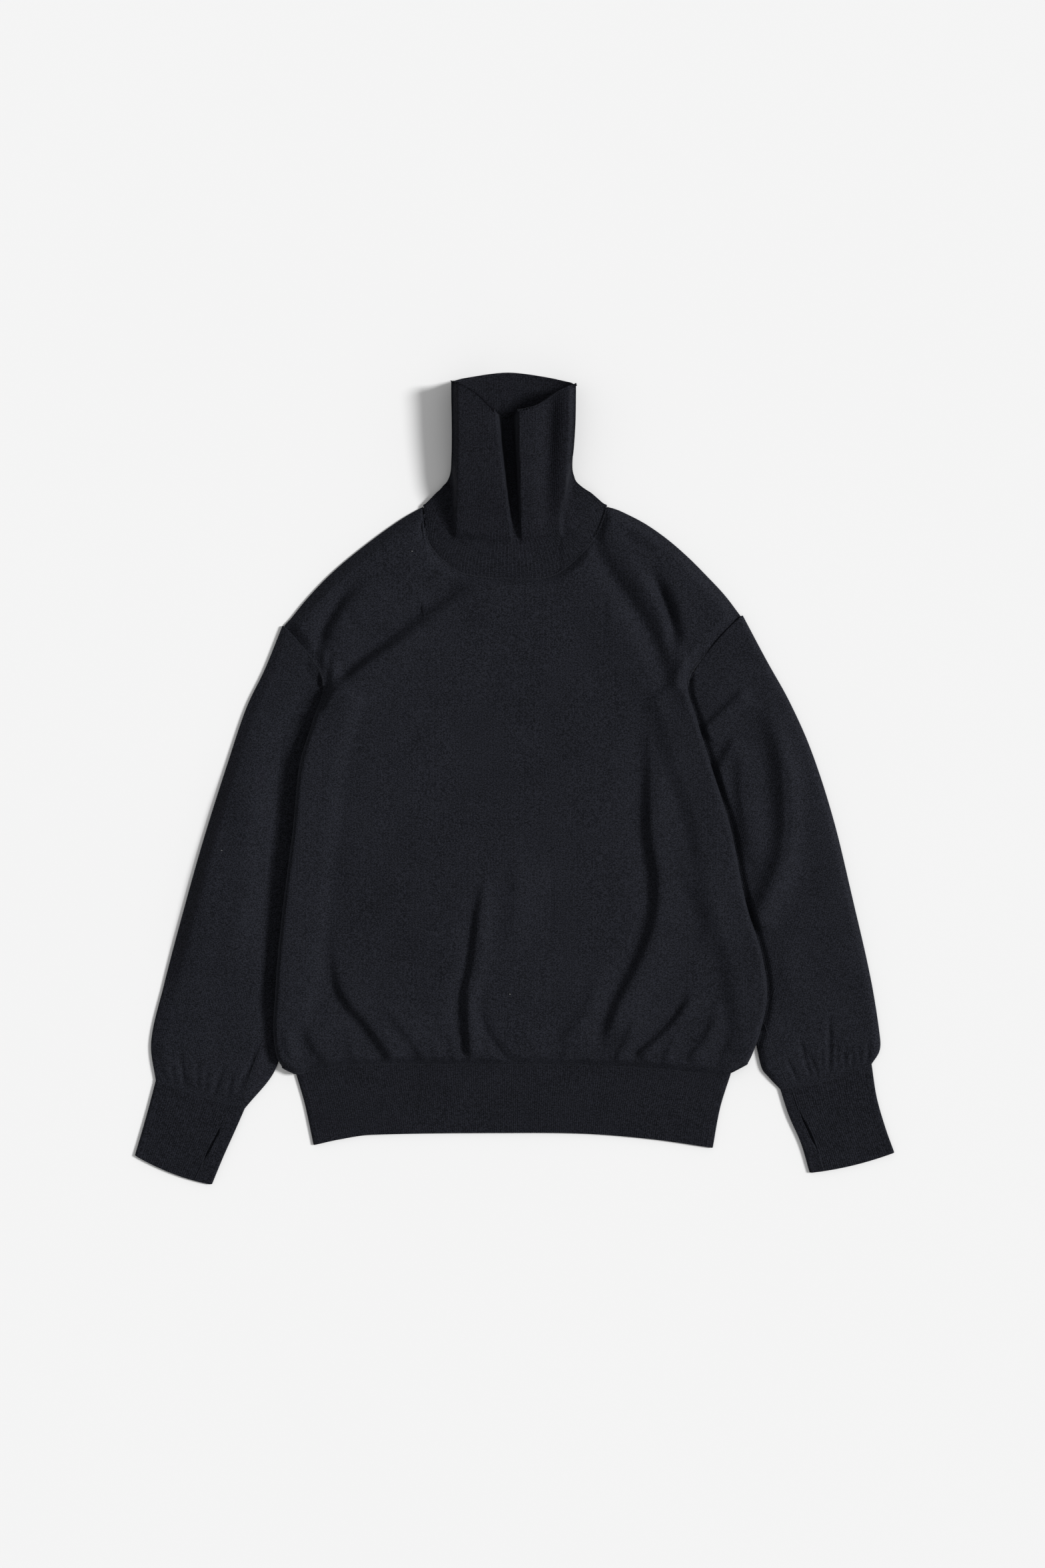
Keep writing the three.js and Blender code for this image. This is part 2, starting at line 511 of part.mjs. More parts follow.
function makeCollar() {
  const outer = [];
  const inner = [];
  const step = 0.02;
  for (let i = 0; i < COLLAR_COLUMNS; i++) {
    const turn = (2 * Math.PI * (i + 0.5)) / COLLAR_COLUMNS;
    const outerColumn = [];
    const innerColumn = [];
    for (let j = 0; j <= COLLAR_ROWS; j++) {
      const t = j / COLLAR_ROWS;
      const point = (a, b) => new THREE.Vector3(...collarPoint(a, clamp(b, 0, 1)));
      const round = point(turn + step, t).sub(point(turn - step, t));
      const up = point(turn, t + step).sub(point(turn, t - step));
      const inward = up.cross(round).normalize();
      const p = point(turn, t);
      outerColumn.push(p.toArray());
      innerColumn.push(p.clone().addScaledVector(inward, COLLAR_WALL).toArray());
    }
    outer.push(outerColumn);
    inner.push(innerColumn);
  }
  return wallSolid(outer, inner, true);
}

// The sweater
const sweater = new THREE.Group();
const pieces = [
  { name: "front", make: makeFront },
  { name: "back", make: makeBack },
  { name: "sleeve_left", make: () => makeSleeve(leftSleeve) },
  { name: "sleeve_right", make: () => makeSleeve(rightSleeve) },
  { name: "cuff_left", make: () => makeCuff(leftCuff, 0.85, 0.77) },
  { name: "cuff_right", make: () => makeCuff(rightCuff, 0.88, 0.83) },
  { name: "hem_band", make: makeHemBand },
  { name: "collar", make: makeCollar },
];
for (const { name, make } of pieces) {
  const mesh = new THREE.Mesh(make(), new THREE.MeshStandardMaterial(ink));
  mesh.name = name;
  sweater.add(mesh);
}

export default sweater;
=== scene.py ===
"""Turtleneck sweater laid out flat on a pale surface, front up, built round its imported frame.

Lengths in the tables are millimetres in the frame's own axes: +X right, +Y towards the collar, +Z up.
Left and right are as seen from above.
"""

import logging
import math
from dataclasses import dataclass, field
from enum import Enum
from typing import Callable, NamedTuple, Sequence

import bpy
import numpy as np
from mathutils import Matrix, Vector

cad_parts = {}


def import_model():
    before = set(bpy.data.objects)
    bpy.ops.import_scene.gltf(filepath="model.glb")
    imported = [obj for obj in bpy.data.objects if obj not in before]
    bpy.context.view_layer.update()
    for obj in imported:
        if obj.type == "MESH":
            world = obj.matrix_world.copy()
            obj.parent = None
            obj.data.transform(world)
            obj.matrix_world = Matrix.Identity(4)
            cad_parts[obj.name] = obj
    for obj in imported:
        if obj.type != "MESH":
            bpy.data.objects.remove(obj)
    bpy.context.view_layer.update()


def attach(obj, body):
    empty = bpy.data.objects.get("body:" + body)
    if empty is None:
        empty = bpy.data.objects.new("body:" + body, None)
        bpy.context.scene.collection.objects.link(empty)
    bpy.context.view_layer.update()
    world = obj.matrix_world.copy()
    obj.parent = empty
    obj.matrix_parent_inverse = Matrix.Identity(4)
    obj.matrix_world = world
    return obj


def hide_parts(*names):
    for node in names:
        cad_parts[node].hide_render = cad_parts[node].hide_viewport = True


Array = np.ndarray
Point = tuple[float, float]
# Metres in a millimetre
MM = 0.001
# Thickness of the cloth, air between a flat tube's two layers, and the tube's height without folds
WALL = 1.5
LAYER_GAP = 0.4
TUBE_HEIGHT = 2 * WALL + LAYER_GAP
# Distance between two ribs of the cuffs, hem and collar
RIB_PITCH = 2.3
log = logging.getLogger("sweater")


# Kinds of rows and choices
class Slot(Enum):
    """The record's material slots."""

    KNIT = "knit"
    RIB = "rib"


class Side(Enum):
    """A side of the sweater as seen from above; its value is the word for it in names."""

    LEFT = "left"
    RIGHT = "right"


class SideRow(NamedTuple):
    """Left and right edge at a height."""

    y: float
    left: float
    right: float


class Fold(NamedTuple):
    """A soft crest (height above 0) or trough (below 0) along a path that runs down from the collar's end.

    Its width is left on the side of -X and right on the side of +X. It fades in and out over a share of
    its length at either end.
    """

    path: tuple[Point, ...]
    left: float
    right: float
    height: float
    fade_in: float = 0.35
    fade_out: float = 0.2


class TubeRow(NamedTuple):
    """A flat tube's section at a share t of its length, bowed towards its free end by bow."""

    t: float
    outer: Point
    inner: Point
    bow: float


class CollarRow(NamedTuple):
    """A collar section at a share t of its height.

    The silhouette runs from left to right at side_y and side_z. The flat base round the neck lies at
    base_z, and the tube that stands on it between its two walls reaches top_z, less the valley.
    """

    t: float
    left: float
    right: float
    side_y: float
    side_z: float
    base_z: float
    top_z: float
    wall_left: float
    wall_right: float
    valley: float


# Outline of the body and the hem band
BODY_SIDES = [
    SideRow(-313, -240, 242),
    SideRow(-294, -250, 252),
    SideRow(-266, -254, 262),
    SideRow(-227, -252, 269),
    SideRow(-184, -249, 263),
    SideRow(-128, -243, 246),
    SideRow(-50, -233, 230),
    SideRow(17, -226, 209),
    SideRow(63, -212, 195),
    SideRow(104, -201, 185),
    SideRow(135, -219, 205),
    SideRow(161, -243, 232),
    SideRow(172, -243, 242),
]
HEM_SIDES = [
    SideRow(-390, -211, 212),
    SideRow(-361, -217, 217),
    SideRow(-343, -221, 221),
    SideRow(-312, -230, 231),
]
LEFT_SHOULDER: list[Point] = [(-243, 161), (-219, 191), (-191, 220), (-156, 249), (-120, 275), (-96, 289)]
RIGHT_SHOULDER: list[Point] = [
    (100, 289), (110, 286), (120, 281.5), (140, 271), (163, 255), (185, 236), (205, 216), (225, 194.5),
    (242, 172),
]
FRONT_NECK: list[Point] = [
    (-96, 289), (-92, 255), (-69, 227), (-50, 217), (0, 212), (39, 215), (64, 231), (90, 262), (100, 289),
]
BACK_NECK: list[Point] = [(-96, 289), (-60, 282), (0, 279), (60, 282), (100, 289)]
HEM_SEAM: list[Point] = [
    (-245, -304), (-233, -311), (-212, -307), (-163, -302), (21, -302), (92, -303), (163, -307),
    (230, -312), (250, -300),
]
HEM_BOTTOM: list[Point] = [
    (-212, -387), (-184, -381), (-149, -376), (0, -374), (78, -375), (149, -381), (212, -390),
]
NECK_LEFT, NECK_RIGHT = -96.0, 100.0
SHOULDER_LEFT, SHOULDER_RIGHT = -243.0, 242.0
ARMHOLE_FOOT, HEM_CORNER = 104.0, -304.0

# Folds of the front and the sleeves
BODY_FOLDS = [
    # Left shoulder, up to the chest
    Fold(((-60, 186), (-99, 158), (-132, 135), (-160, 116), (-180, 98), (-197, 74), (-212, 40),
          (-222, -10)), 7.5, 36, 8.0, 0.4, 0.5),
    Fold(((-40, 217), (-66, 200), (-97, 179), (-124, 158), (-148, 139), (-170, 121), (-194, 95)),
         11, 8.5, -6.4, 0.22, 0.15),
    Fold(((-148, 222), (-176, 199), (-196, 172), (-205, 148), (-209, 126), (-208, 100)), 7.5, 7.5, -6.0),
    Fold(((-142, 210), (-168, 188), (-184, 164), (-193, 144)), 10, 15, 2.6),
    Fold(((-192, 142), (-197, 114), (-200, 92), (-204, 72)), 4, 4.5, -4.6, 0.3, 0.05),
    Fold(((-130, 208), (-148, 186), (-172, 166)), 14, 14, 1.8),
    # Right shoulder, from the collar to the armhole
    Fold(((92, 272), (88, 246), (104, 216), (123, 188), (140, 160), (152, 134), (161, 106), (166, 80)),
         9, 9, -5.0, 0.1, 0.45),
    Fold(((104, 262), (120, 236), (137, 209), (150, 187), (163, 165), (174, 136), (186, 102), (196, 66)),
         13, 5.5, 3.6, 0.35, 0.1),
    Fold(((74, 214), (98, 186), (122, 150), (142, 108), (160, 60)), 30, 9, 2.4, 0.4, 0.2),
    Fold(((141, 234), (150, 212), (158, 194), (164, 178), (168, 160), (171, 143), (176, 122)),
         5, 6, -7.2, 0.35, 0.25),
    Fold(((156, 222), (172, 198), (180, 168), (184, 142)), 5, 14, 2.2),
    Fold(((112, 262), (130, 250), (152, 240)), 5, 5, -1.4),
    # Right flank
    Fold(((143, 101), (145, 40), (146, 0), (146, -43), (149, -75), (154, -105), (151, -149), (135, -193),
          (113, -237), (95, -290)), 7.5, 25, 6.2, 0.3, 0.08),
    Fold(((137, 101), (139, 24), (139, -43), (142, -75), (147, -105), (144, -149), (128, -193),
          (106, -237), (88, -290)), 16, 5, -3.6, 0.35, 0.08),
    Fold(((174, -56), (190, -106), (207, -149), (204, -190)), 9, 18, 3.4, 0.4, 0.3),
    Fold(((196, -217), (169, -258), (130, -294)), 4, 12, 4.4, 0.3, 0.1),
    Fold(((191, -221), (163, -260), (124, -294)), 7, 3, -2.4, 0.3, 0.1),
    Fold(((216, -240), (207, -269), (185, -299)), 4, 10, 3.4, 0.4, 0.1),
    Fold(((135, -238), (122, -270), (108, -300)), 3.2, 8, 2.6, 0.4, 0.1),
    Fold(((178, -260), (167, -282), (159, -301)), 2.8, 7, 2.0, 0.4, 0.1),
    Fold(((236, -262), (228, -284), (220, -304)), 3.4, 8, 2.0, 0.4, 0.1),
    # Centre
    Fold(((0, -76), (6, -112), (2, -150), (-5, -190)), 9, 18, 2.4, 0.3, 0.4),
    Fold(((-30, -99), (-34, -140), (-39, -190), (-47, -234), (-44, -298)), 4.5, 9, 4.6, 0.3, 0.05),
    Fold(((-36, -105), (-42, -144), (-48, -193), (-56, -234), (-51, -298)), 11, 4.5, -3.8, 0.4, 0.05),
    Fold(((-33, -210), (-35, -249), (-19, -282), (3, -298), (36, -292)), 4.5, 4.5, -2.8, 0.4, 0.4),
    Fold(((96, -166), (86, -232), (68, -262), (50, -287)), 9, 20, 3.2, 0.5, 0.2),
    Fold(((-66, -262), (-63, -284), (-61, -302)), 3.2, 8, 1.8, 0.4, 0.1),
    Fold(((-86, -276), (-82, -290), (-79, -302)), 2.8, 7, 1.4, 0.4, 0.1),
    Fold(((58, -280), (55, -292), (53, -303)), 2.6, 6, 1.2, 0.4, 0.1),
    # Left flank
    Fold(((-190, -150), (-185, -208), (-172, -236), (-151, -261), (-124, -300)), 6.5, 24, 5.0, 0.45, 0.06),
    Fold(((-196, -150), (-191, -208), (-180, -236), (-158, -261), (-130, -300)), 12, 4.5, -3.4, 0.4, 0.06),
    Fold(((-149, -225), (-107, -272), (-92, -300)), 5.5, 17, 3.6, 0.4, 0.08),
    Fold(((-226, -244), (-210, -280), (-191, -303)), 5, 16, 3.6, 0.4, 0.08),
    Fold(((-244, -256), (-238, -280), (-230, -299)), 3.6, 8, 2.0, 0.4, 0.1),
    Fold(((-176, -274), (-170, -290), (-166, -304)), 2.8, 6, 1.4, 0.4, 0.1),
    # Press marks
    Fold(((96, 212), (97, 174), (95, 132)), 1.7, 1.7, -0.9),
    Fold(((-128, -75), (-40, -76), (52, -74), (80, -75)), 1.8, 1.8, -0.5),
    Fold(((40, -84), (41, -120), (40, -168)), 3, 3, -0.6),
    Fold(((-110, -26), (-40, -24), (30, -28)), 7, 7, -0.5),
    # Slow swells
    Fold(((-150, 60), (-165, -20), (-165, -110)), 40, 40, 2.0),
    Fold(((60, 140), (84, 40), (76, -80)), 46, 46, 1.6),
    Fold(((-60, 120), (-30, 30), (-20, -60)), 50, 50, -1.0),
    Fold(((200, 20), (214, -60), (226, -140)), 16, 20, 1.4),
    Fold(((-56, -40), (-50, -150), (-40, -260)), 90, 70, 4.6, 0.3, 0.2),
    Fold(((-212, 56), (-222, 0), (-230, -60), (-238, -130), (-245, -200), (-248, -262)),
         8, 26, 4.6, 0.15, 0.1),
]
SLEEVE_FOLDS = [
    # Right sleeve
    Fold(((250, 97), (225, 74), (200, 50)), 4, 14, 4.2, 0.2, 0.05),
    Fold(((240, 46), (229, 30), (214, -2), (212, -30)), 6, 15, 4.4, 0.3, 0.1),
    Fold(((244, 40), (242, 8), (246, -40), (254, -92)), 8, 17, 4.4, 0.3, 0.2),
    Fold(((254, 90), (274, 60), (286, 16), (290, -42), (283, -90), (264, -138), (256, -162)),
         12, 14, 9.0, 0.35, 0.12),
    Fold(((302, 30), (332, -90), (352, -200)), 24, 24, 2.0),
    Fold(((262, -20), (258, -60), (262, -96)), 10, 10, 1.2),
    Fold(((278, -160), (291, -196), (295, -236)), 12, 16, 1.7),
    Fold(((296, -92), (318, -96), (338, -98)), 1.6, 1.6, -0.5),
    Fold(((279, -272), (306, -268), (332, -260)), 3, 3, -1.2),
    Fold(((288, -292), (296, -309), (302, -323)), 2.2, 2.2, -2.0, 0.4, 0.05),
    Fold(((303, -274), (308, -292), (315, -314)), 2.2, 2.4, -2.4, 0.4, 0.05),
    Fold(((310, -284), (317, -300), (324, -316)), 2.2, 2.2, -2.0, 0.4, 0.05),
    Fold(((334, -242), (335, -278), (334.6, -312)), 2.4, 3, -2.6, 0.4, 0.05),
    Fold(((351.5, -280), (351, -297), (350.8, -309)), 2.2, 2.2, -2.2, 0.4, 0.05),
    Fold(((359.3, -286), (359.6, -306)), 2, 2, -1.8, 0.4, 0.05),
    Fold(((377, -276), (375.5, -292), (374.9, -304)), 2.4, 2.4, -2.2, 0.4, 0.05),
    Fold(((342, -270), (343, -290), (342.5, -311)), 2, 2, -1.3, 0.4, 0.05),
    Fold(((366, -278), (367, -306)), 2, 2.4, -1.4, 0.4, 0.05),
    Fold(((326, -278), (328, -315)), 2.2, 2.2, -1.4, 0.4, 0.05),
    # Left sleeve
    Fold(((-222, 126), (-217, 98), (-224, 68), (-237, 40), (-244, 0), (-250, -60), (-258, -130),
          (-264, -200)), 13, 12, -5.0),
    Fold(((-268, 60), (-285, -60), (-300, -160), (-318, -240)), 70, 24, 7.0, 0.3, 0.3),
    Fold(((-250, 126), (-268, 60), (-282, -10), (-286, -80)), 18, 16, 2.4),
    Fold(((-262, -80), (-282, -160), (-284, -240)), 18, 18, 1.5),
    Fold(((-306, -40), (-330, -140), (-352, -236)), 26, 26, 2.0),
    Fold(((-376, -300), (-371, -312), (-367, -322)), 2.2, 2.2, -1.7, 0.4, 0.05),
    Fold(((-355, -282), (-351, -306), (-347.6, -327)), 2.6, 2.6, -2.2, 0.4, 0.05),
    Fold(((-306, -300), (-313, -320), (-319, -336)), 2.6, 2.6, -2.2, 0.4, 0.05),
    Fold(((-268, -274), (-279, -302), (-291, -330)), 2.6, 3, -2.2, 0.4, 0.05),
    Fold(((-335, -294), (-334, -331)), 2.2, 2.2, -1.2, 0.4, 0.05),
    Fold(((-323, -302), (-327, -334)), 2.2, 2.2, -1.2, 0.4, 0.05),
    Fold(((-297, -306), (-304, -340)), 2.2, 2.2, -1.3, 0.4, 0.05),
    Fold(((-363, -296), (-359, -324)), 2.2, 2.2, -1.1, 0.4, 0.05),
]
# Outline of the sleeves and cuffs
LEFT_SLEEVE = [
    TubeRow(0.0, (-244.8, 163), (-194, 92), -8),
    TubeRow(0.1, (-263, 118), (-195, 44), 0),
    TubeRow(0.22, (-283, 76), (-203, 14), 0),
    TubeRow(0.36, (-303, 17), (-207, -22), 0),
    TubeRow(0.52, (-328, -62), (-216, -92), 0),
    TubeRow(0.68, (-350, -140), (-225, -170), 0),
    TubeRow(0.84, (-371, -220), (-238, -247), 0),
    TubeRow(0.93, (-384, -278), (-252, -307), 2),
    TubeRow(1.0, (-379, -320), (-284, -348), 3),
]
RIGHT_SLEEVE = [
    TubeRow(0.0, (243.6, 174), (173, 84), -8.5),
    TubeRow(0.1, (268, 128), (177, 46), 0),
    TubeRow(0.22, (293, 83), (188, 14), 0),
    TubeRow(0.36, (316.5, 30), (198, -22), 0),
    TubeRow(0.52, (340, -43), (216, -92), 0),
    TubeRow(0.68, (360.5, -128), (237, -170), 0),
    TubeRow(0.84, (379.5, -212), (252, -247), 0),
    TubeRow(0.93, (389, -272), (263, -304), 2),
    TubeRow(0.965, (388.5, -288), (271.5, -316), 3),
    TubeRow(1.0, (380, -302), (283, -328), 4),
]
LEFT_CUFF = [
    TubeRow(0.0, (-379, -319.4), (-284, -347.4), 3),
    TubeRow(0.35, (-387, -350), (-294, -371), 3),
    TubeRow(0.7, (-395, -378), (-307, -400), 3.5),
    TubeRow(1.0, (-401, -398), (-319, -429), 4),
]
RIGHT_CUFF = [
    TubeRow(0.0, (380, -301.4), (283, -327.4), 4),
    TubeRow(0.35, (385.5, -337), (292, -356), 3),
    TubeRow(0.7, (395, -370), (305, -386), 3),
    TubeRow(1.0, (404, -395), (314, -416.5), 3),
]
LEFT_UNDERARM: list[Point] = [(-286, -336), (-279, -314), (-273, -297), (-265, -275)]
RIGHT_UNDERARM: list[Point] = [(266, -258), (272, -276), (280, -297), (290, -320)]
# Shape of the collar
COLLAR_ROWS = [
    CollarRow(0.0, -95.2, 99.2, 291, 3.4, 5.8, 5.8, -66, 54, 0),
    CollarRow(0.1, -92, 95, 293, 4, 6.8, 7.0, -66, 54, 0),
    CollarRow(0.2, -86, 88, 299, 5, 7.4, 7.6, -66, 54, 0),
    CollarRow(0.26, -81, 82, 304, 6, 7.8, 8.6, -66, 54.5, 0),
    CollarRow(0.3, -77.5, 77, 307, 6.6, 8, 10.4, -65.5, 54.5, 1),
    CollarRow(0.34, -74, 71.5, 311, 7.2, 8.2, 13.6, -65, 54, 4),
    CollarRow(0.4, -69.5, 66.5, 316, 8, 8.6, 19.5, -65, 54, 9),
    CollarRow(0.48, -66, 63, 325, 10, 10, 25.5, -66, 58, 14),
    CollarRow(0.56, -65, 62.5, 336, 12, 12, 30, -72, 66, 18),
    CollarRow(0.68, -64.5, 64, 352, 13, 13, 33, -74, 71, 21),
    CollarRow(0.8, -64.5, 65.5, 376, 14, 14, 35, -74, 73, 23),
    CollarRow(0.9, -65, 66, 398, 14, 14, 36, -74, 74, 24.5),
    CollarRow(1.0, -65, 66, 417, 14, 14, 37, -74, 75, 26),
]
COLLAR_RIM: list[Point] = [
    (0.0, 419), (0.02, 417.5), (0.06, 415), (0.11, 412), (0.19, 406), (0.25, 399), (0.31, 391), (0.36, 386),
    (0.43, 384.5), (0.5, 386), (0.6, 388.5), (0.69, 392), (0.76, 397.5), (0.83, 404), (0.92, 410),
    (0.98, 413.5), (1.0, 415.5),
]
COLLAR_CREASE: list[Point] = [(0.0, 262), (0.15, 258), (0.5, 253), (0.85, 258), (1.0, 263)]
COLLAR_BACK_RIM: list[Point] = [
    (0.0, 419), (0.03, 421.5), (0.1, 424.6), (0.33, 430), (0.5, 431), (0.77, 426), (0.95, 420),
    (0.985, 417.8), (1.0, 415.5),
]


# Curves, distances and folds
def through(knots: Sequence[Point], x: Array | float) -> Array:
    """Reads a smooth curve that runs through knots.

    Args:
        knots: Points in rising x.
        x: Where to read the curve; it stays level past either end.

    Returns:
        The curve's values at x.
    """
    xs, ys = np.array(knots, float).T
    slope = np.gradient(ys, xs, edge_order=1)
    slope[1:-1] = (ys[2:] - ys[:-2]) / (xs[2:] - xs[:-2])
    i = np.clip(np.searchsorted(xs, x, side="right") - 1, 0, len(xs) - 2)
    h = xs[i + 1] - xs[i]
    t = np.clip((x - xs[i]) / h, 0, 1)
    a = (2 * t**3 - 3 * t**2 + 1) * ys[i] + (t**3 - 2 * t**2 + t) * h * slope[i]
    return a + (3 * t**2 - 2 * t**3) * ys[i + 1] + (t**3 - t**2) * h * slope[i + 1]


def column(rows: Sequence[NamedTuple], key: str, value: str, x: Array | float) -> Array:
    """Reads one column of a table of rows against another.

    Args:
        rows: Rows in rising key.
        key: Name of the column that x is in.
        value: Name of the column that is read.
        x: Where to read it.

    Returns:
        The column's values at x.
    """
    return through([(getattr(row, key), getattr(row, value)) for row in rows], x)


def smooth(x: Array) -> Array:
    """Rises softly from 0 at x = 0 to 1 at x = 1."""
    t = np.clip(x, 0, 1)
    return t * t * (3 - 2 * t)


def fine_ends(count: int, total: float) -> Array:
    """Shares from 0 to 1 that stand closer near both ends, for edges that turn down.

    Args:
        count: Number of steps between the two fine ends.
        total: Length in millimetres that the shares divide.

    Returns:
        The rising shares.
    """
    near = np.array([0, 0.3, 0.8, 1.5, 2.4, 3.6, 5.2, 7.2]) / total
    middle = np.linspace(near[-1], 1 - near[-1], count)
    return np.concatenate([near[:-1], middle, (1 - near[::-1])[1:]])


def distance_to(x: Array, y: Array, line_x: Array, line_y: Array) -> Array:
    """Distance in plan from places to a line.

    Args:
        x: Places across.
        y: Places along.
        line_x: The line's points across.
        line_y: The line's points along.

    Returns:
        The distance at each place.
    """
    best = np.full(x.shape, np.inf)
    for px, py, dx, dy in zip(line_x[:-1], line_y[:-1], np.diff(line_x), np.diff(line_y)):
        t = np.clip(((x - px) * dx + (y - py) * dy) / max(dx * dx + dy * dy, 1e-9), 0, 1)
        best = np.minimum(best, (x - px - dx * t) ** 2 + (y - py - dy * t) ** 2)
    return np.sqrt(best)


def height_of(grid: "ClothGrid", x: float, y: float) -> float:
    """Reads the upper height of a cloth.

    Args:
        grid: The cloth's grid.
        x: The place across.
        y: The place along.

    Returns:
        The height of the cloth's nearest point.
    """
    points = grid.points.reshape(-1, 3)
    near = np.argmin((points[:, 0] - x) ** 2 + (points[:, 1] - y) ** 2 - 0.5 * points[:, 2])
    return float(points[near, 2])


def roll(distance: Array, radius: float) -> Array:
    """How far a round edge has dropped at a distance from the edge."""
    inside = np.clip(radius - distance, 0, radius)
    return radius - np.sqrt(radius**2 - inside**2)


class Relief:
    """The height that a table of folds adds to flat cloth.

    A path gets BETWEEN steps between two of its points. A fold is left out beyond REACH times its width,
    and its width changes from left to right over TURN millimetres.
    """

    BETWEEN = 5
    REACH = 2.6
    TURN = 3

    def __init__(self, folds: Sequence[Fold]) -> None:
        """Lays out each fold's smooth path once."""
        self.lines = [(fold, self._smooth_path(np.array(fold.path, float))) for fold in folds]

    def _smooth_path(self, path: Array) -> Array:
        """Runs a smooth curve through a path's points."""
        place = np.arange(len(path))
        fine = np.linspace(0, len(path) - 1, (len(path) - 1) * self.BETWEEN + 1)
        return np.stack([through(list(zip(place, path[:, i])), fine) for i in (0, 1)], 1)

    def at(self, x: Array, y: Array) -> Array:
        """Adds up the folds.

        Args:
            x: Places across, in millimetres.
            y: Places along, of the same shape.

        Returns:
            The height at each place.
        """
        height = np.zeros_like(x)
        for fold, line in self.lines:
            reach = self.REACH * max(fold.left, fold.right)
            low, high = line.min(0) - reach, line.max(0) + reach
            near = (x > low[0]) & (x < high[0]) & (y > low[1]) & (y < high[1])
            if near.any():
                height[near] += self._one(fold, line, x[near], y[near])
        return height

    @classmethod
    def _one(cls, fold: Fold, line: Array, x: Array, y: Array) -> Array:
        """Works out one fold, which fades away towards both its ends.

        Args:
            fold: The fold.
            line: Its smooth path.
            x: Places across.
            y: Places along.

        Returns:
            The fold's height at each place.
        """
        best = np.full(x.shape, np.inf)
        place = np.zeros(x.shape)
        side = np.zeros(x.shape)
        steps = len(line) - 1
        for i in range(steps):
            (px, py), (dx, dy) = line[i], line[i + 1] - line[i]
            t = np.clip(((x - px) * dx + (y - py) * dy) / (dx * dx + dy * dy), 0, 1)
            distance = np.hypot(x - px - dx * t, y - py - dy * t)
            closer = distance < best
            best = np.where(closer, distance, best)
            place = np.where(closer, (i + t) / steps, place)
            side = np.where(closer, ((y - py) * dx - (x - px) * dy) / math.hypot(dx, dy), side)
        ends = smooth(place / fold.fade_in) * smooth((1 - place) / fold.fade_out)
        turned = smooth(side / cls.TURN + 0.5)
        width = fold.left + (fold.right - fold.left) * turned
        return fold.height * ends * np.exp(-((best / width) ** 2))


# Cloth and its meshes
@dataclass
class ClothGrid:
    """Points of a sheet's outer face in rows and columns, with where each lies in the flat cloth.

    Attributes:
        points: Shape (columns, rows, 3), in millimetres.
        flat: Shape (columns + wrapped, rows, 2), the place in the cloth, in millimetres.
        wrapped: True where the last column joins the first, as round a tube.
        reach: Columns to either side that a wrapped grid's normals are taken from.

    A rim swells outwards by RIM_SWELL times the wall, away from the points INWARD steps further in.
    """

    points: Array
    flat: Array
    wrapped: bool = False
    reach: int = 1

    RIM_SWELL = 0.35
    INWARD = 3

    def normals(self) -> Array:
        """Finds the grid's unit normals by differences along it.

        Returns:
            A normal for each point.
        """
        p = self.points
        if self.wrapped:
            across = np.roll(p, -self.reach, 0) - np.roll(p, self.reach, 0)
        else:
            across = np.gradient(p, axis=0)
        n = np.cross(across, np.gradient(p, axis=1))
        return n / np.maximum(np.linalg.norm(n, axis=2, keepdims=True), 1e-9)

    def turned(self) -> "ClothGrid":
        """The same grid with its columns in the other order, so that it faces the other way."""
        return ClothGrid(self.points[::-1], self.flat[::-1], self.wrapped)

    def build(self, name: str, wall: float = WALL) -> bpy.types.Object:
        """Makes a closed cloth of even thickness with rounded rims.

        Args:
            name: The piece's name.
            wall: The cloth's thickness in millimetres.

        Returns:
            The new object.
        """
        outer = self.points
        inner = outer - wall * self.normals()
        columns, rows = outer.shape[:2]
        number = np.arange(columns * rows).reshape(columns, rows)
        top = np.concatenate([number, number[:1]]) if self.wrapped else number
        low = top + columns * rows
        vertices = [outer.reshape(-1, 3), inner.reshape(-1, 3)]
        faces = [self.quads(top), self.quads(low)[:, ::-1]]
        flats = [self.quad_flat(self.flat), self.quad_flat(self.flat)[:, ::-1]]
        edges = [(slice(None), 0, False), (slice(None), -1, True)]
        if not self.wrapped:
            edges += [(0, slice(None), True), (-1, slice(None), False)]
        for i, j, turned in edges:
            along_columns = isinstance(i, slice)
            first = (j if along_columns else i) == 0
            step = self.INWARD if first else -1 - self.INWARD
            beside = (outer[:, step] if along_columns else outer[step]) - outer[i, j]
            outward = -beside / np.maximum(np.linalg.norm(beside, axis=1, keepdims=True), 1e-9)
            middle = (outer[i, j] + inner[i, j]) / 2 + outward * wall * self.RIM_SWELL
            start = sum(len(v) for v in vertices)
            vertices.append(middle)
            lip = start + np.arange(len(middle))
            if self.wrapped:
                lip = np.append(lip, lip[0])
            place = self.flat[i, j]
            for one, two in ((top[i, j], lip), (lip, low[i, j])):
                quads = np.stack([one[:-1], two[:-1], two[1:], one[1:]], 1)
                uv = np.stack([place[:-1], place[:-1], place[1:], place[1:]], 1)
                faces.append(quads[:, ::-1] if turned else quads)
                flats.append(uv[:, ::-1] if turned else uv)
        return new_mesh(name, np.concatenate(vertices), np.concatenate(faces), np.concatenate(flats))

    @staticmethod
    def quads(number: Array) -> Array:
        """Faces between neighbouring grid numbers."""
        corners = [number[:-1, :-1], number[1:, :-1], number[1:, 1:], number[:-1, 1:]]
        return np.stack([c.reshape(-1) for c in corners], 1)

    @staticmethod
    def quad_flat(flat: Array) -> Array:
        """Flat places of the same faces' corners."""
        corners = [flat[:-1, :-1], flat[1:, :-1], flat[1:, 1:], flat[:-1, 1:]]
        return np.stack([c.reshape(-1, 2) for c in corners], 1)


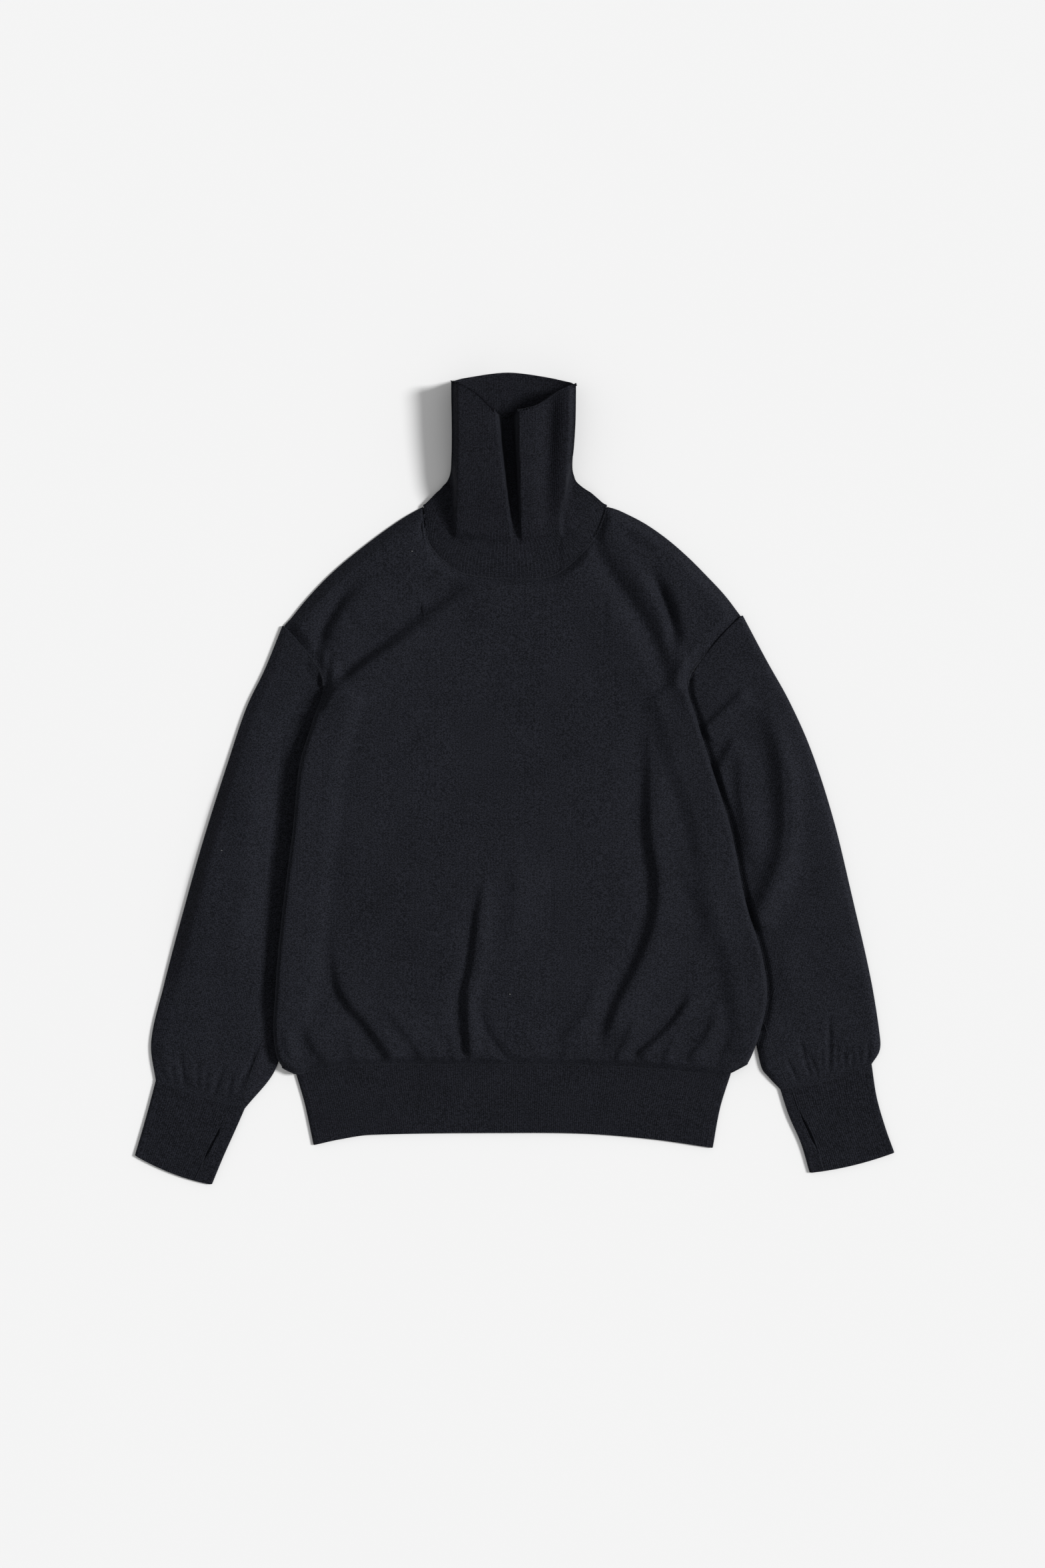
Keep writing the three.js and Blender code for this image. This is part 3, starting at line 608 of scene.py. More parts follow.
def new_mesh(name: str, vertices: Array, faces: Array, flat: Array | None = None) -> bpy.types.Object:
    """Makes a smooth mesh object from arrays.

    Args:
        name: The object's name.
        vertices: Points in millimetres.
        faces: Corner numbers, all faces with as many corners.
        flat: The corners' places in the flat cloth, in millimetres, or None.

    Returns:
        The new object, linked to the scene.
    """
    mesh = bpy.data.meshes.new(name)
    mesh.from_pydata((vertices * MM).tolist(), [], faces.tolist())
    if flat is not None:
        layer = mesh.uv_layers.new(name="cloth")
        layer.data.foreach_set("uv", (flat * MM).reshape(-1).astype(np.float32))
    mesh.validate()
    mesh.shade_smooth()
    piece = bpy.data.objects.new(name, mesh)
    bpy.context.scene.collection.objects.link(piece)
    return piece


def settle(piece: bpy.types.Object, finish: bpy.types.Material, slot: Slot, *nodes: str) -> None:
    """Gives a piece its finish and its body, and hides the nodes that it stands for.

    Args:
        piece: The piece.
        finish: Its material.
        slot: The record's slot that the finish comes from; not used.
        nodes: Names of the frame's nodes.
    """
    piece.data.materials.append(finish)
    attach(piece, "root")
    if nodes:
        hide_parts(*nodes)
    log.info("%s: %d faces", piece.name, len(piece.data.polygons))


# Finishes
class NodeSheet:
    """Adds and joins nodes of one tree, so that a finish reads as a list of steps."""

    def __init__(self, tree: bpy.types.NodeTree) -> None:
        """Starts on a tree."""
        self.tree = tree

    def add(self, kind: str, **values: object) -> bpy.types.Node:
        """Adds a node and sets its own properties.

        Args:
            kind: The node's type, such as ShaderNodeMath.
            values: Properties by name.

        Returns:
            The new node.
        """
        node = self.tree.nodes.new(kind)
        for name, value in values.items():
            setattr(node, name, value)
        return node

    def join(self, start: bpy.types.NodeSocket, end: bpy.types.NodeSocket) -> None:
        """Links one socket to another."""
        self.tree.links.new(start, end)

    def maths(self, operation: str, a: object, b: object = 0.0, c: object = 0.0) -> bpy.types.NodeSocket:
        """Adds one step of arithmetic.

        Args:
            operation: The Math node's operation.
            a: First value or socket.
            b: Second value or socket.
            c: Third value or socket.

        Returns:
            The result's socket.
        """
        node = self.add("ShaderNodeMath", operation=operation)
        for socket, value in zip(node.inputs, (a, b, c)):
            if isinstance(value, bpy.types.NodeSocket):
                self.join(value, socket)
            else:
                socket.default_value = value
        return node.outputs[0]

    def noise(self, place: bpy.types.NodeSocket, scale: float, detail: float = 2.0) -> bpy.types.NodeSocket:
        """Adds a soft noise over a place.

        Args:
            place: The coordinates' socket.
            scale: Waves in a metre.
            detail: Finer octaves.

        Returns:
            The noise's value socket.
        """
        node = self.add("ShaderNodeTexNoise")
        node.inputs["Scale"].default_value = scale
        node.inputs["Detail"].default_value = detail
        self.join(place, node.inputs["Vector"])
        return node.outputs["Fac"]


def stitch_group() -> bpy.types.NodeTree:
    """Builds the shared knit relief: columns of loops that lean together in pairs.

    Returns:
        A group with the place in the cloth and the two pitches going in, and a height coming out.
    """
    tree = bpy.data.node_groups.new("knit_loops", "ShaderNodeTree")
    tree.interface.new_socket("Place", in_out="INPUT", socket_type="NodeSocketVector")
    tree.interface.new_socket("Columns per metre", in_out="INPUT", socket_type="NodeSocketFloat")
    tree.interface.new_socket("Rows per metre", in_out="INPUT", socket_type="NodeSocketFloat")
    tree.interface.new_socket("Loop height", in_out="OUTPUT", socket_type="NodeSocketFloat")
    sheet = NodeSheet(tree)
    start = sheet.add("NodeGroupInput")
    end = sheet.add("NodeGroupOutput")
    split = sheet.add("ShaderNodeSeparateXYZ")
    sheet.join(start.outputs["Place"], split.inputs[0])
    across = sheet.maths("MULTIPLY", split.outputs[0], start.outputs["Columns per metre"])
    along = sheet.maths("MULTIPLY", split.outputs[1], start.outputs["Rows per metre"])
    lean = sheet.maths("ABSOLUTE", sheet.maths("SUBTRACT", sheet.maths("FRACT", across), 0.5))
    column_shape = sheet.maths("ABSOLUTE", sheet.maths("SINE", sheet.maths("MULTIPLY", across, math.pi)))
    leaning = sheet.maths("MULTIPLY", sheet.maths("ADD", along, lean), math.pi)
    row_shape = sheet.maths("ABSOLUTE", sheet.maths("SINE", leaning))
    height = sheet.maths("MULTIPLY", column_shape, sheet.maths("MULTIPLY_ADD", row_shape, 0.5, 0.5))
    sheet.join(height, end.inputs["Loop height"])
    return tree


def mottle_group() -> bpy.types.NodeTree:
    """Builds the shared yarn mottle: fine flecks over slow clouds of lighter and darker yarn.

    Returns:
        A group with a place and the flecks' strength going in, and a shade from 0 to 1 coming out.
    """
    tree = bpy.data.node_groups.new("yarn_mottle", "ShaderNodeTree")
    tree.interface.new_socket("Place", in_out="INPUT", socket_type="NodeSocketVector")
    tree.interface.new_socket("Flecks", in_out="INPUT", socket_type="NodeSocketFloat")
    tree.interface.new_socket("Shade", in_out="OUTPUT", socket_type="NodeSocketFloat")
    sheet = NodeSheet(tree)
    start = sheet.add("NodeGroupInput")
    end = sheet.add("NodeGroupOutput")
    place = start.outputs["Place"]
    coarse = sheet.maths("MULTIPLY", sheet.noise(place, 700, 1.0), 0.45)
    both = sheet.maths("MULTIPLY_ADD", sheet.noise(place, 1500, 1.0), 0.55, coarse)
    fleck = sheet.maths("SUBTRACT", both, 0.5)
    cloud = sheet.maths("SUBTRACT", sheet.noise(place, 26, 3.0), 0.5)
    shade = sheet.maths("MULTIPLY_ADD", fleck, start.outputs["Flecks"], 0.5)
    shade = sheet.maths("MULTIPLY_ADD", cloud, 0.3, shade)
    sheet.join(shade, end.inputs["Shade"])
    return tree


@dataclass(frozen=True)
class YarnFinish:
    """Dark knitted yarn with flecks, soft sheen and the relief of its loops.

    Attributes:
        name: The material's name.
        dark: The darkest yarn colour.
        light: The lightest yarn colour.
        flecks: Strength of the fine flecks.
        columns: Loop columns in a metre.
        rows: Loop rows in a metre.
        relief: Depth of the loops in metres.
        sheen: Weight of the soft fibre sheen.
    """

    name: str
    dark: tuple[float, float, float]
    light: tuple[float, float, float]
    flecks: float
    columns: float
    rows: float
    relief: float
    sheen: float

    def build(self, loops: bpy.types.NodeTree, mottle: bpy.types.NodeTree) -> bpy.types.Material:
        """Builds the material.

        Args:
            loops: The shared knit relief.
            mottle: The shared yarn mottle.

        Returns:
            The material.
        """
        material = bpy.data.materials.new(self.name)
        material.use_nodes = True
        sheet = NodeSheet(material.node_tree)
        shader = material.node_tree.nodes["Principled BSDF"]
        shader.inputs["Roughness"].default_value = 0.85
        shader.inputs["Specular IOR Level"].default_value = 0.08
        shader.inputs["Sheen Weight"].default_value = self.sheen
        shader.inputs["Sheen Roughness"].default_value = 0.28
        shader.inputs["Sheen Tint"].default_value = (0.62, 0.66, 0.8, 1)
        cloth = sheet.add("ShaderNodeUVMap", uv_map="cloth")
        space = sheet.add("ShaderNodeTexCoord")
        shade = sheet.add("ShaderNodeGroup", node_tree=mottle)
        shade.inputs["Flecks"].default_value = self.flecks
        sheet.join(space.outputs["Object"], shade.inputs["Place"])
        ramp = sheet.add("ShaderNodeValToRGB")
        ramp.color_ramp.elements[0].position = 0.2
        ramp.color_ramp.elements[0].color = (*self.dark, 1)
        ramp.color_ramp.elements[1].position = 0.85
        ramp.color_ramp.elements[1].color = (*self.light, 1)
        sheet.join(shade.outputs["Shade"], ramp.inputs["Fac"])
        sheet.join(ramp.outputs["Color"], shader.inputs["Base Color"])
        relief = sheet.add("ShaderNodeGroup", node_tree=loops)
        relief.inputs["Columns per metre"].default_value = self.columns
        relief.inputs["Rows per metre"].default_value = self.rows
        sheet.join(cloth.outputs["UV"], relief.inputs["Place"])
        fibre = sheet.noise(space.outputs["Object"], 900, 2.0)
        height = sheet.maths("MULTIPLY_ADD", fibre, 0.6, relief.outputs["Loop height"])
        bump = sheet.add("ShaderNodeBump")
        bump.inputs["Strength"].default_value = 0.7
        bump.inputs["Distance"].default_value = self.relief
        sheet.join(height, bump.inputs["Height"])
        sheet.join(bump.outputs["Normal"], shader.inputs["Normal"])
        return material


@dataclass(frozen=True)
class PlainFinish:
    """A matt finish with a faint cloud of tone, for lint and the floor.

    Attributes:
        name: The material's name.
        colour: Its mean colour.
        change: How far the tone moves either way, as a share.
        scale: Clouds in a metre.
    """

    name: str
    colour: tuple[float, float, float]
    change: float
    scale: float

    def build(self) -> bpy.types.Material:
        """Builds the material."""
        material = bpy.data.materials.new(self.name)
        material.use_nodes = True
        sheet = NodeSheet(material.node_tree)
        shader = material.node_tree.nodes["Principled BSDF"]
        shader.inputs["Roughness"].default_value = 0.9
        shader.inputs["Specular IOR Level"].default_value = 0.1
        space = sheet.add("ShaderNodeTexCoord")
        ramp = sheet.add("ShaderNodeValToRGB")
        ramp.color_ramp.elements[0].color = (*[c * (1 - self.change) for c in self.colour], 1)
        ramp.color_ramp.elements[1].color = (*[min(1, c * (1 + self.change)) for c in self.colour], 1)
        sheet.join(sheet.noise(space.outputs["Object"], self.scale), ramp.inputs["Fac"])
        sheet.join(ramp.outputs["Color"], shader.inputs["Base Color"])
        return material


# Pieces of the sweater
@dataclass
class Seam:
    """A line of linking stitches: a low, rounded ridge of yarn that closes the joint of two cloths.

    Attributes:
        name: The piece's name.
        width: Its width in millimetres.
        height: Its thickness in millimetres.
        stitch: Length of one stitch.
        swell: How much wider a stitch is at its middle, as a share.

    The ridge has AROUND sides and a ring every STEP millimetres, and tapers over TAPER at its ends.
    """

    name: str
    width: float
    height: float
    stitch: float = 1.7
    swell: float = 0.22

    AROUND = 8
    STEP = 0.42
    TAPER = 1.5

    def build(self, path: Array, finish: bpy.types.Material) -> None:
        """Sweeps the ridge along a path.

        Args:
            path: Points on the cloth, in millimetres.
            finish: The linking yarn's finish.
        """
        lengths = np.concatenate([[0], np.cumsum(np.linalg.norm(np.diff(path, axis=0), axis=1))])
        along = np.linspace(0, lengths[-1], int(lengths[-1] / self.STEP))
        spine = np.stack([np.interp(along, lengths, path[:, i]) for i in range(3)], 1)
        forward = np.gradient(spine, axis=0)
        across = np.stack([-forward[:, 1], forward[:, 0], 0 * along], 1)
        across /= np.maximum(np.linalg.norm(across, axis=1, keepdims=True), 1e-9)
        beat = 1 + self.swell * (np.abs(np.sin(np.pi * along / self.stitch)) - 0.5)
        taper = np.minimum(1, 0.2 + np.minimum(along, along[-1] - along) / self.TAPER)
        size = (beat * taper)[:, None, None]
        turn = 2 * np.pi * np.arange(self.AROUND + 1) / self.AROUND
        out = np.cos(turn)[None, :, None] * across[:, None, :] * self.width / 2
        up = np.sin(turn)[None, :, None] * np.array([0, 0, 1.0]) * self.height / 2
        points = (spine[:, None, :] + size * (out + up))[:, :-1].transpose(1, 0, 2)
        round_flat = np.broadcast_to(turn[:, None] * self.width / 2, (self.AROUND + 1, len(along)))
        flat = np.stack([round_flat, np.broadcast_to(along, round_flat.shape)], 2)
        number = np.arange(points[..., 0].size).reshape(points.shape[:2])
        number = np.concatenate([number, number[:1]])
        sides = ClothGrid.quads(number)[:, ::-1]
        piece = new_mesh(
            self.name, points.reshape(-1, 3), sides, ClothGrid.quad_flat(flat)[:, ::-1].reshape(-1, 2),
        )
        settle(piece, finish, Slot.RIB)


@dataclass
class Body:
    """Front and back panels of the sweater.

    Attributes:
        ease: Height of the front above its two layers where it has no fold.
        lift: How far the sleeves underneath raise the body's sides.
        ramp: Width over which the body rises onto a sleeve.
        ramp_margin: How far inside the sleeve's hidden edge the rise ends.
        tuck: How far a sleeve reaches under the body.
        edge_radius: Radius of the folded side edges.
        columns: Steps across a panel.
        rows: Steps along a panel.
        length: Length that the panel's rows are spaced for.
        armhole: Height over which the lift fades along the armhole.
        edge_rise: Distance over which the front rises from its side, shoulder, neck and hem.
        edge_start: How far along that rise the cloth already is at each of those edges.
        folded_start: How much further along it is at a side that is folded.
        relief: The front's folds.
    """

    ease: float = 7.6
    lift: float = TUBE_HEIGHT + 1.0
    ramp: float = 20.0
    ramp_margin: float = 8.0
    tuck: float = 25.0
    edge_radius: float = 5.0
    columns: int = 190
    rows: int = 210
    length: float = 560.0
    armhole: float = 57.0
    edge_rise: tuple[float, float, float, float] = (16.0, 16.0, 14.0, 11.0)
    edge_start: tuple[float, float, float, float] = (0.1, 0.12, 0.36, 0.16)
    folded_start: float = 0.35
    relief: Relief = field(default_factory=lambda: Relief(BODY_FOLDS))

    # Half-width over which the rows' ends even out the neckline, and the share where they follow it
    EVEN_REACH = 34
    FOLLOW_FROM = 0.72
    # Least and greatest height of the front's folds
    EASE_RANGE = (0.15, 15)
    # Air between the panels, and the lowest height of the front's turned-down edges
    PANEL_GAP = 0.3
    LOWEST = WALL + 0.9
    # Radius of the shoulders' edges
    SHOULDER_RADIUS = 2.6
    # How far the back lies inside the front's sides, from 150 mm beside the middle outwards
    BACK_INSET = 1.2
    INSET_FROM = 150
    # How far below the armhole's foot its linked seam starts
    SEAM_START = 6

    def side(self, x: Array, y: Array) -> Array:
        """How far out the side edge lies at a height, on the side that x is on."""
        left = -column(BODY_SIDES, "y", "left", y)
        return np.where(x < 0, left, column(BODY_SIDES, "y", "right", y))

    def lift_at(self, x: Array, y: Array) -> Array:
        """Height that the sleeve underneath gives the body.

        Args:
            x: Places across.
            y: Places along.

        Returns:
            The lift at each place.
        """
        tuck = self.tuck * smooth((ARMHOLE_FOOT - y) / 24) * smooth((y - HEM_CORNER) / 90)
        ramp_end = self.side(x, y) - tuck - self.ramp_margin
        across = smooth((np.abs(x) - ramp_end + self.ramp) / self.ramp)
        return self.lift * across * (1 - smooth((y - ARMHOLE_FOOT) / self.armhole))

    def top(self, neck: Sequence[Point], x: Array) -> Array:
        """The panel's upper edge: shoulder, neckline, shoulder.

        Args:
            neck: The neckline's points.
            x: Places across.

        Returns:
            The edge's y at each place.
        """
        shoulders = np.where(x < 0, through(LEFT_SHOULDER, x), through(RIGHT_SHOULDER, x))
        return np.where((x > NECK_LEFT) & (x < NECK_RIGHT), through(neck, x), shoulders)

    def plan(self, neck: Sequence[Point]) -> tuple[Array, Array, Array]:
        """Lays the panel's grid out flat.

        Args:
            neck: The neckline's points.

        Returns:
            x, y and the column's station across the shoulders.
        """
        u = fine_ends(self.columns, SHOULDER_RIGHT - SHOULDER_LEFT)[:, None]
        v = fine_ends(self.rows, self.length)[None, :]
        station = SHOULDER_LEFT + (SHOULDER_RIGHT - SHOULDER_LEFT) * u
        top = self.top(neck, station)
        near = [np.abs(station - place) < self.EVEN_REACH for place in station]
        even = np.array([top[mask].mean() for mask in near])[:, None]
        hem_left, hem_right = HEM_SEAM[0][0], HEM_SEAM[-1][0]
        bottom = through(HEM_SEAM, hem_left + (hem_right - hem_left) * u)
        follow = smooth((v - self.FOLLOW_FROM) / (1 - self.FOLLOW_FROM))
        y = bottom + (even - bottom) * v + (top - even) * follow
        left, right = column(BODY_SIDES, "y", "left", y), column(BODY_SIDES, "y", "right", y)
        return left + (right - left) * u, y, np.broadcast_to(station, y.shape)

    def front_grid(self) -> ClothGrid:
        """Works out the front panel, with its sides and shoulders turned down over the back.

        Returns:
            The panel's grid.
        """
        x, y, station = self.plan(FRONT_NECK)
        place = station[:, 0]

        def to_top(chosen: Array) -> Array:
            """Distance to the chosen stretch of the panel's upper edge."""
            return distance_to(x, y, x[chosen, -1], y[chosen, -1])

        neck = to_top((place > NECK_LEFT) & (place < NECK_RIGHT))
        shoulder = np.minimum(to_top(place <= NECK_LEFT), to_top(place >= NECK_RIGHT))
        hem = distance_to(x, y, x[:, 0], y[:, 0])
        side = np.minimum(distance_to(x, y, x[0], y[0]), distance_to(x, y, x[-1], y[-1]))
        # Below the armhole the side is folded, and the front rises there in half the distance
        folded = smooth((ARMHOLE_FOOT - y) / 20)
        side_rise, *other_rises = self.edge_rise
        side_start, *other_starts = self.edge_start
        side_share = side / (side_rise - side_rise / 2 * folded)
        rise = smooth(side_share + side_start + self.folded_start * folded)
        for distance, width, start in zip((shoulder, neck, hem), other_rises, other_starts):
            rise = rise * smooth(distance / width + start)
        ease = np.clip(self.ease + self.relief.at(x, y), *self.EASE_RANGE)
        z = 2 * WALL + self.PANEL_GAP + self.lift_at(x, y) + ease * rise
        drop = np.maximum(roll(side, self.edge_radius) * folded, roll(shoulder, self.SHOULDER_RADIUS))
        z = np.maximum(z - drop, self.LOWEST)
        return ClothGrid(np.stack([x, y, z], 2), np.stack([x, y], 2))

    def back_grid(self) -> ClothGrid:
        """Works out the back panel, just inside the front's outline.

        Returns:
            The panel's grid, coarser than the front's.
        """
        coarse = Body(columns=70, rows=80)
        x, y, _ = coarse.plan(BACK_NECK)
        middle = (x.max() + x.min()) / 2
        inset = self.BACK_INSET * smooth((np.abs(x - middle) - self.INSET_FROM) / 60)
        x = x - np.sign(x - middle) * inset
        z = WALL + coarse.lift_at(x, y)
        return ClothGrid(np.stack([x, y, z], 2), np.stack([x, y], 2))

    def build(self, knit: bpy.types.Material, seam: bpy.types.Material) -> ClothGrid:
        """Makes both panels and their seams.

        Args:
            knit: The plain knit finish.
            seam: The linking yarn's finish.

        Returns:
            The front's grid, for what lies on it.
        """
        grid = self.front_grid()
        front = grid.build("front_panel")
        settle(front, knit, Slot.KNIT, "front")
        back = self.back_grid().build("back_panel")
        settle(back, knit, Slot.KNIT, "back")
        top, station = grid.points[:, -1], self.plan(FRONT_NECK)[2][:, 0]
        neck = top[(station >= NECK_LEFT) & (station <= NECK_RIGHT)]
        Seam("neck_linking", width=2.2, height=1.1).build(neck + (0, 0.3, 0.0), seam)
        Seam("hem_linking", width=1.5, height=0.9).build(grid.points[::2, 0] + (0, -0.2, 0.1), seam)
        for side, edge in ((Side.LEFT, grid.points[0]), (Side.RIGHT, grid.points[-1])):
            armhole = edge[edge[:, 1] > ARMHOLE_FOOT - self.SEAM_START]
            name = f"{side.value}_armhole_linking"
            Seam(name, width=2.6, height=1.3).build(armhole + (0, 0, -0.1), seam)
        return grid


@dataclass
class FlatTube:
    """A tube of cloth that lies flat, for sleeves, cuffs and the hem band.

    Attributes:
        name: The piece's name.
        node: The frame's node that it stands for.
        plan: Gives a point across (0 to 1) and along (0 to 1).
        width: Mean width.
        length: Length.
        puff: Height added on top at a place.
        columns: Steps across one layer.
        rows: Steps along.
        rib_pitch: Distance between ribs, or 0 for plain knit.
        slit: Gives the opening's place across and half-width at a share along, or None.
        wall: The cloth's thickness.
        edge_radius: Radius of the two folded edges.
        mirrored: True where the plan's outer edge is on the right.

    Beside a slit the columns start LIP away from it, stay CLEAR of its gap, and follow its slant over
    about DRAG, all as shares of the width. Ribs are RIB_DEPTH millimetres high.
    """

    name: str
    node: str
    plan: Callable[[Array, Array], tuple[Array, Array]]
    width: float
    length: float
    puff: Callable[[Array, Array, Array], Array]
    columns: int
    rows: int
    rib_pitch: float = 0.0
    slit: Callable[[Array], tuple[Array, Array]] | None = None
    wall: float = WALL
    edge_radius: float = 3.0
    mirrored: bool = False

    RIB_DEPTH = 0.17
    LIP = 0.012
    CLEAR = 0.004
    DRAG = 0.12

    def ring(self) -> tuple[Array, Array]:
        """Places round the tube.

        Returns:
            The place across, and the layer: 1 on top, -1 below.
        """
        across = fine_ends(self.columns, self.width)
        if self.slit is None:
            s = np.concatenate([across, across[-2:0:-1]])
            layer = np.concatenate([np.ones(len(across)), -np.ones(len(across) - 2)])
            return s, layer
        cut = float(self.slit(np.array(0.0))[0])
        before, after = across[across < cut - self.LIP], across[across > cut + self.LIP]
        s = np.concatenate([[cut], after, across[-2:0:-1], before, [cut]])
        layer = np.ones(len(s))
        layer[1 + len(after):1 + len(after) + len(across) - 2] = -1
        return s, layer

    def grid(self) -> ClothGrid:
        """Works out the tube's outer face, with its slit and its ribs.

        Returns:
            The tube's grid, which runs from lip to lip where it has a slit.
        """
        s, layer = self.ring()
        s, layer = s[:, None], layer[:, None]
        t = fine_ends(self.rows, self.length)[None, :]
        place = s + 0 * t
        if self.slit is not None:
            centre, half = self.slit(t)
            shift = centre - float(self.slit(np.array(0.0))[0])
            near = np.exp(-(((s - centre + shift) / self.DRAG) ** 2)) * (layer > 0)
            place = place + shift * near
            place[0] = centre + half
            place[-1] = centre - half
            place[1:-1] = np.where(
                (layer[1:-1] > 0) & (np.abs(place[1:-1] - centre) < half + self.CLEAR),
                centre + np.sign(place[1:-1] - centre) * (half + self.CLEAR),
                place[1:-1],
            )
        x, y = self.plan(place, t)
        edge = np.minimum(place, 1 - place) * self.width
        fullness = 1 - roll(edge, self.edge_radius) / self.edge_radius
        half = TUBE_HEIGHT / 2
        z = half + layer * half * fullness + np.where(layer > 0, self.puff(x, y, edge), 0)
        around = np.where(layer > 0, place, 2 - place) * self.width
        if self.slit is not None:
            around[-1] = place[-1] * self.width
        points = np.stack([x, y, z], 2)
        along = np.broadcast_to(t * self.length, x.shape)
        flat = np.stack([around, along], 2)
        wrapped = self.slit is None
        if wrapped:
            closing = np.stack([np.full(x.shape[1], 2 * self.width), along[0]], 1)[None]
            flat = np.concatenate([flat, closing])
        grid = ClothGrid(points, flat, wrapped)
        if self.rib_pitch:
            ribs = self.RIB_DEPTH * np.cos(2 * np.pi * around / self.rib_pitch)
            grid.points = points + grid.normals() * ribs[..., None] * (1 if self.mirrored else -1)
            grid.points[..., 2] = np.maximum(grid.points[..., 2], 0)
        return grid

    def build(self, finish: bpy.types.Material, slot: Slot) -> tuple[bpy.types.Object, ClothGrid]:
        """Makes the tube.

        Args:
            finish: Its material.
            slot: Its slot.

        Returns:
            The new piece and its grid.
        """
        grid = self.grid()
        if not self.mirrored:
            grid = grid.turned()
        piece = grid.build(self.name, self.wall)
        settle(piece, finish, slot, self.node)
        return piece, grid


def section_plan(rows: Sequence[TubeRow]) -> Callable[[Array, Array], tuple[Array, Array]]:
    """Turns a table of sections into a plan.

    Args:
        rows: The sections.

    Returns:
        A function of the place across and along that gives x and y.
    """
    tracks = [[(row.t, value) for row, value in zip(rows, values)] for values in zip(*[
        (row.outer[0], row.outer[1], row.inner[0], row.inner[1], row.bow) for row in rows
    ])]

    def plan(s: Array, t: Array) -> tuple[Array, Array]:
        """Reads a point between a section's two edges."""
        ox, oy, ix, iy, bow = (through(track, t) for track in tracks)
        return ox + (ix - ox) * s, oy + (iy - oy) * s - bow * 4 * s * (1 - s)

    return plan


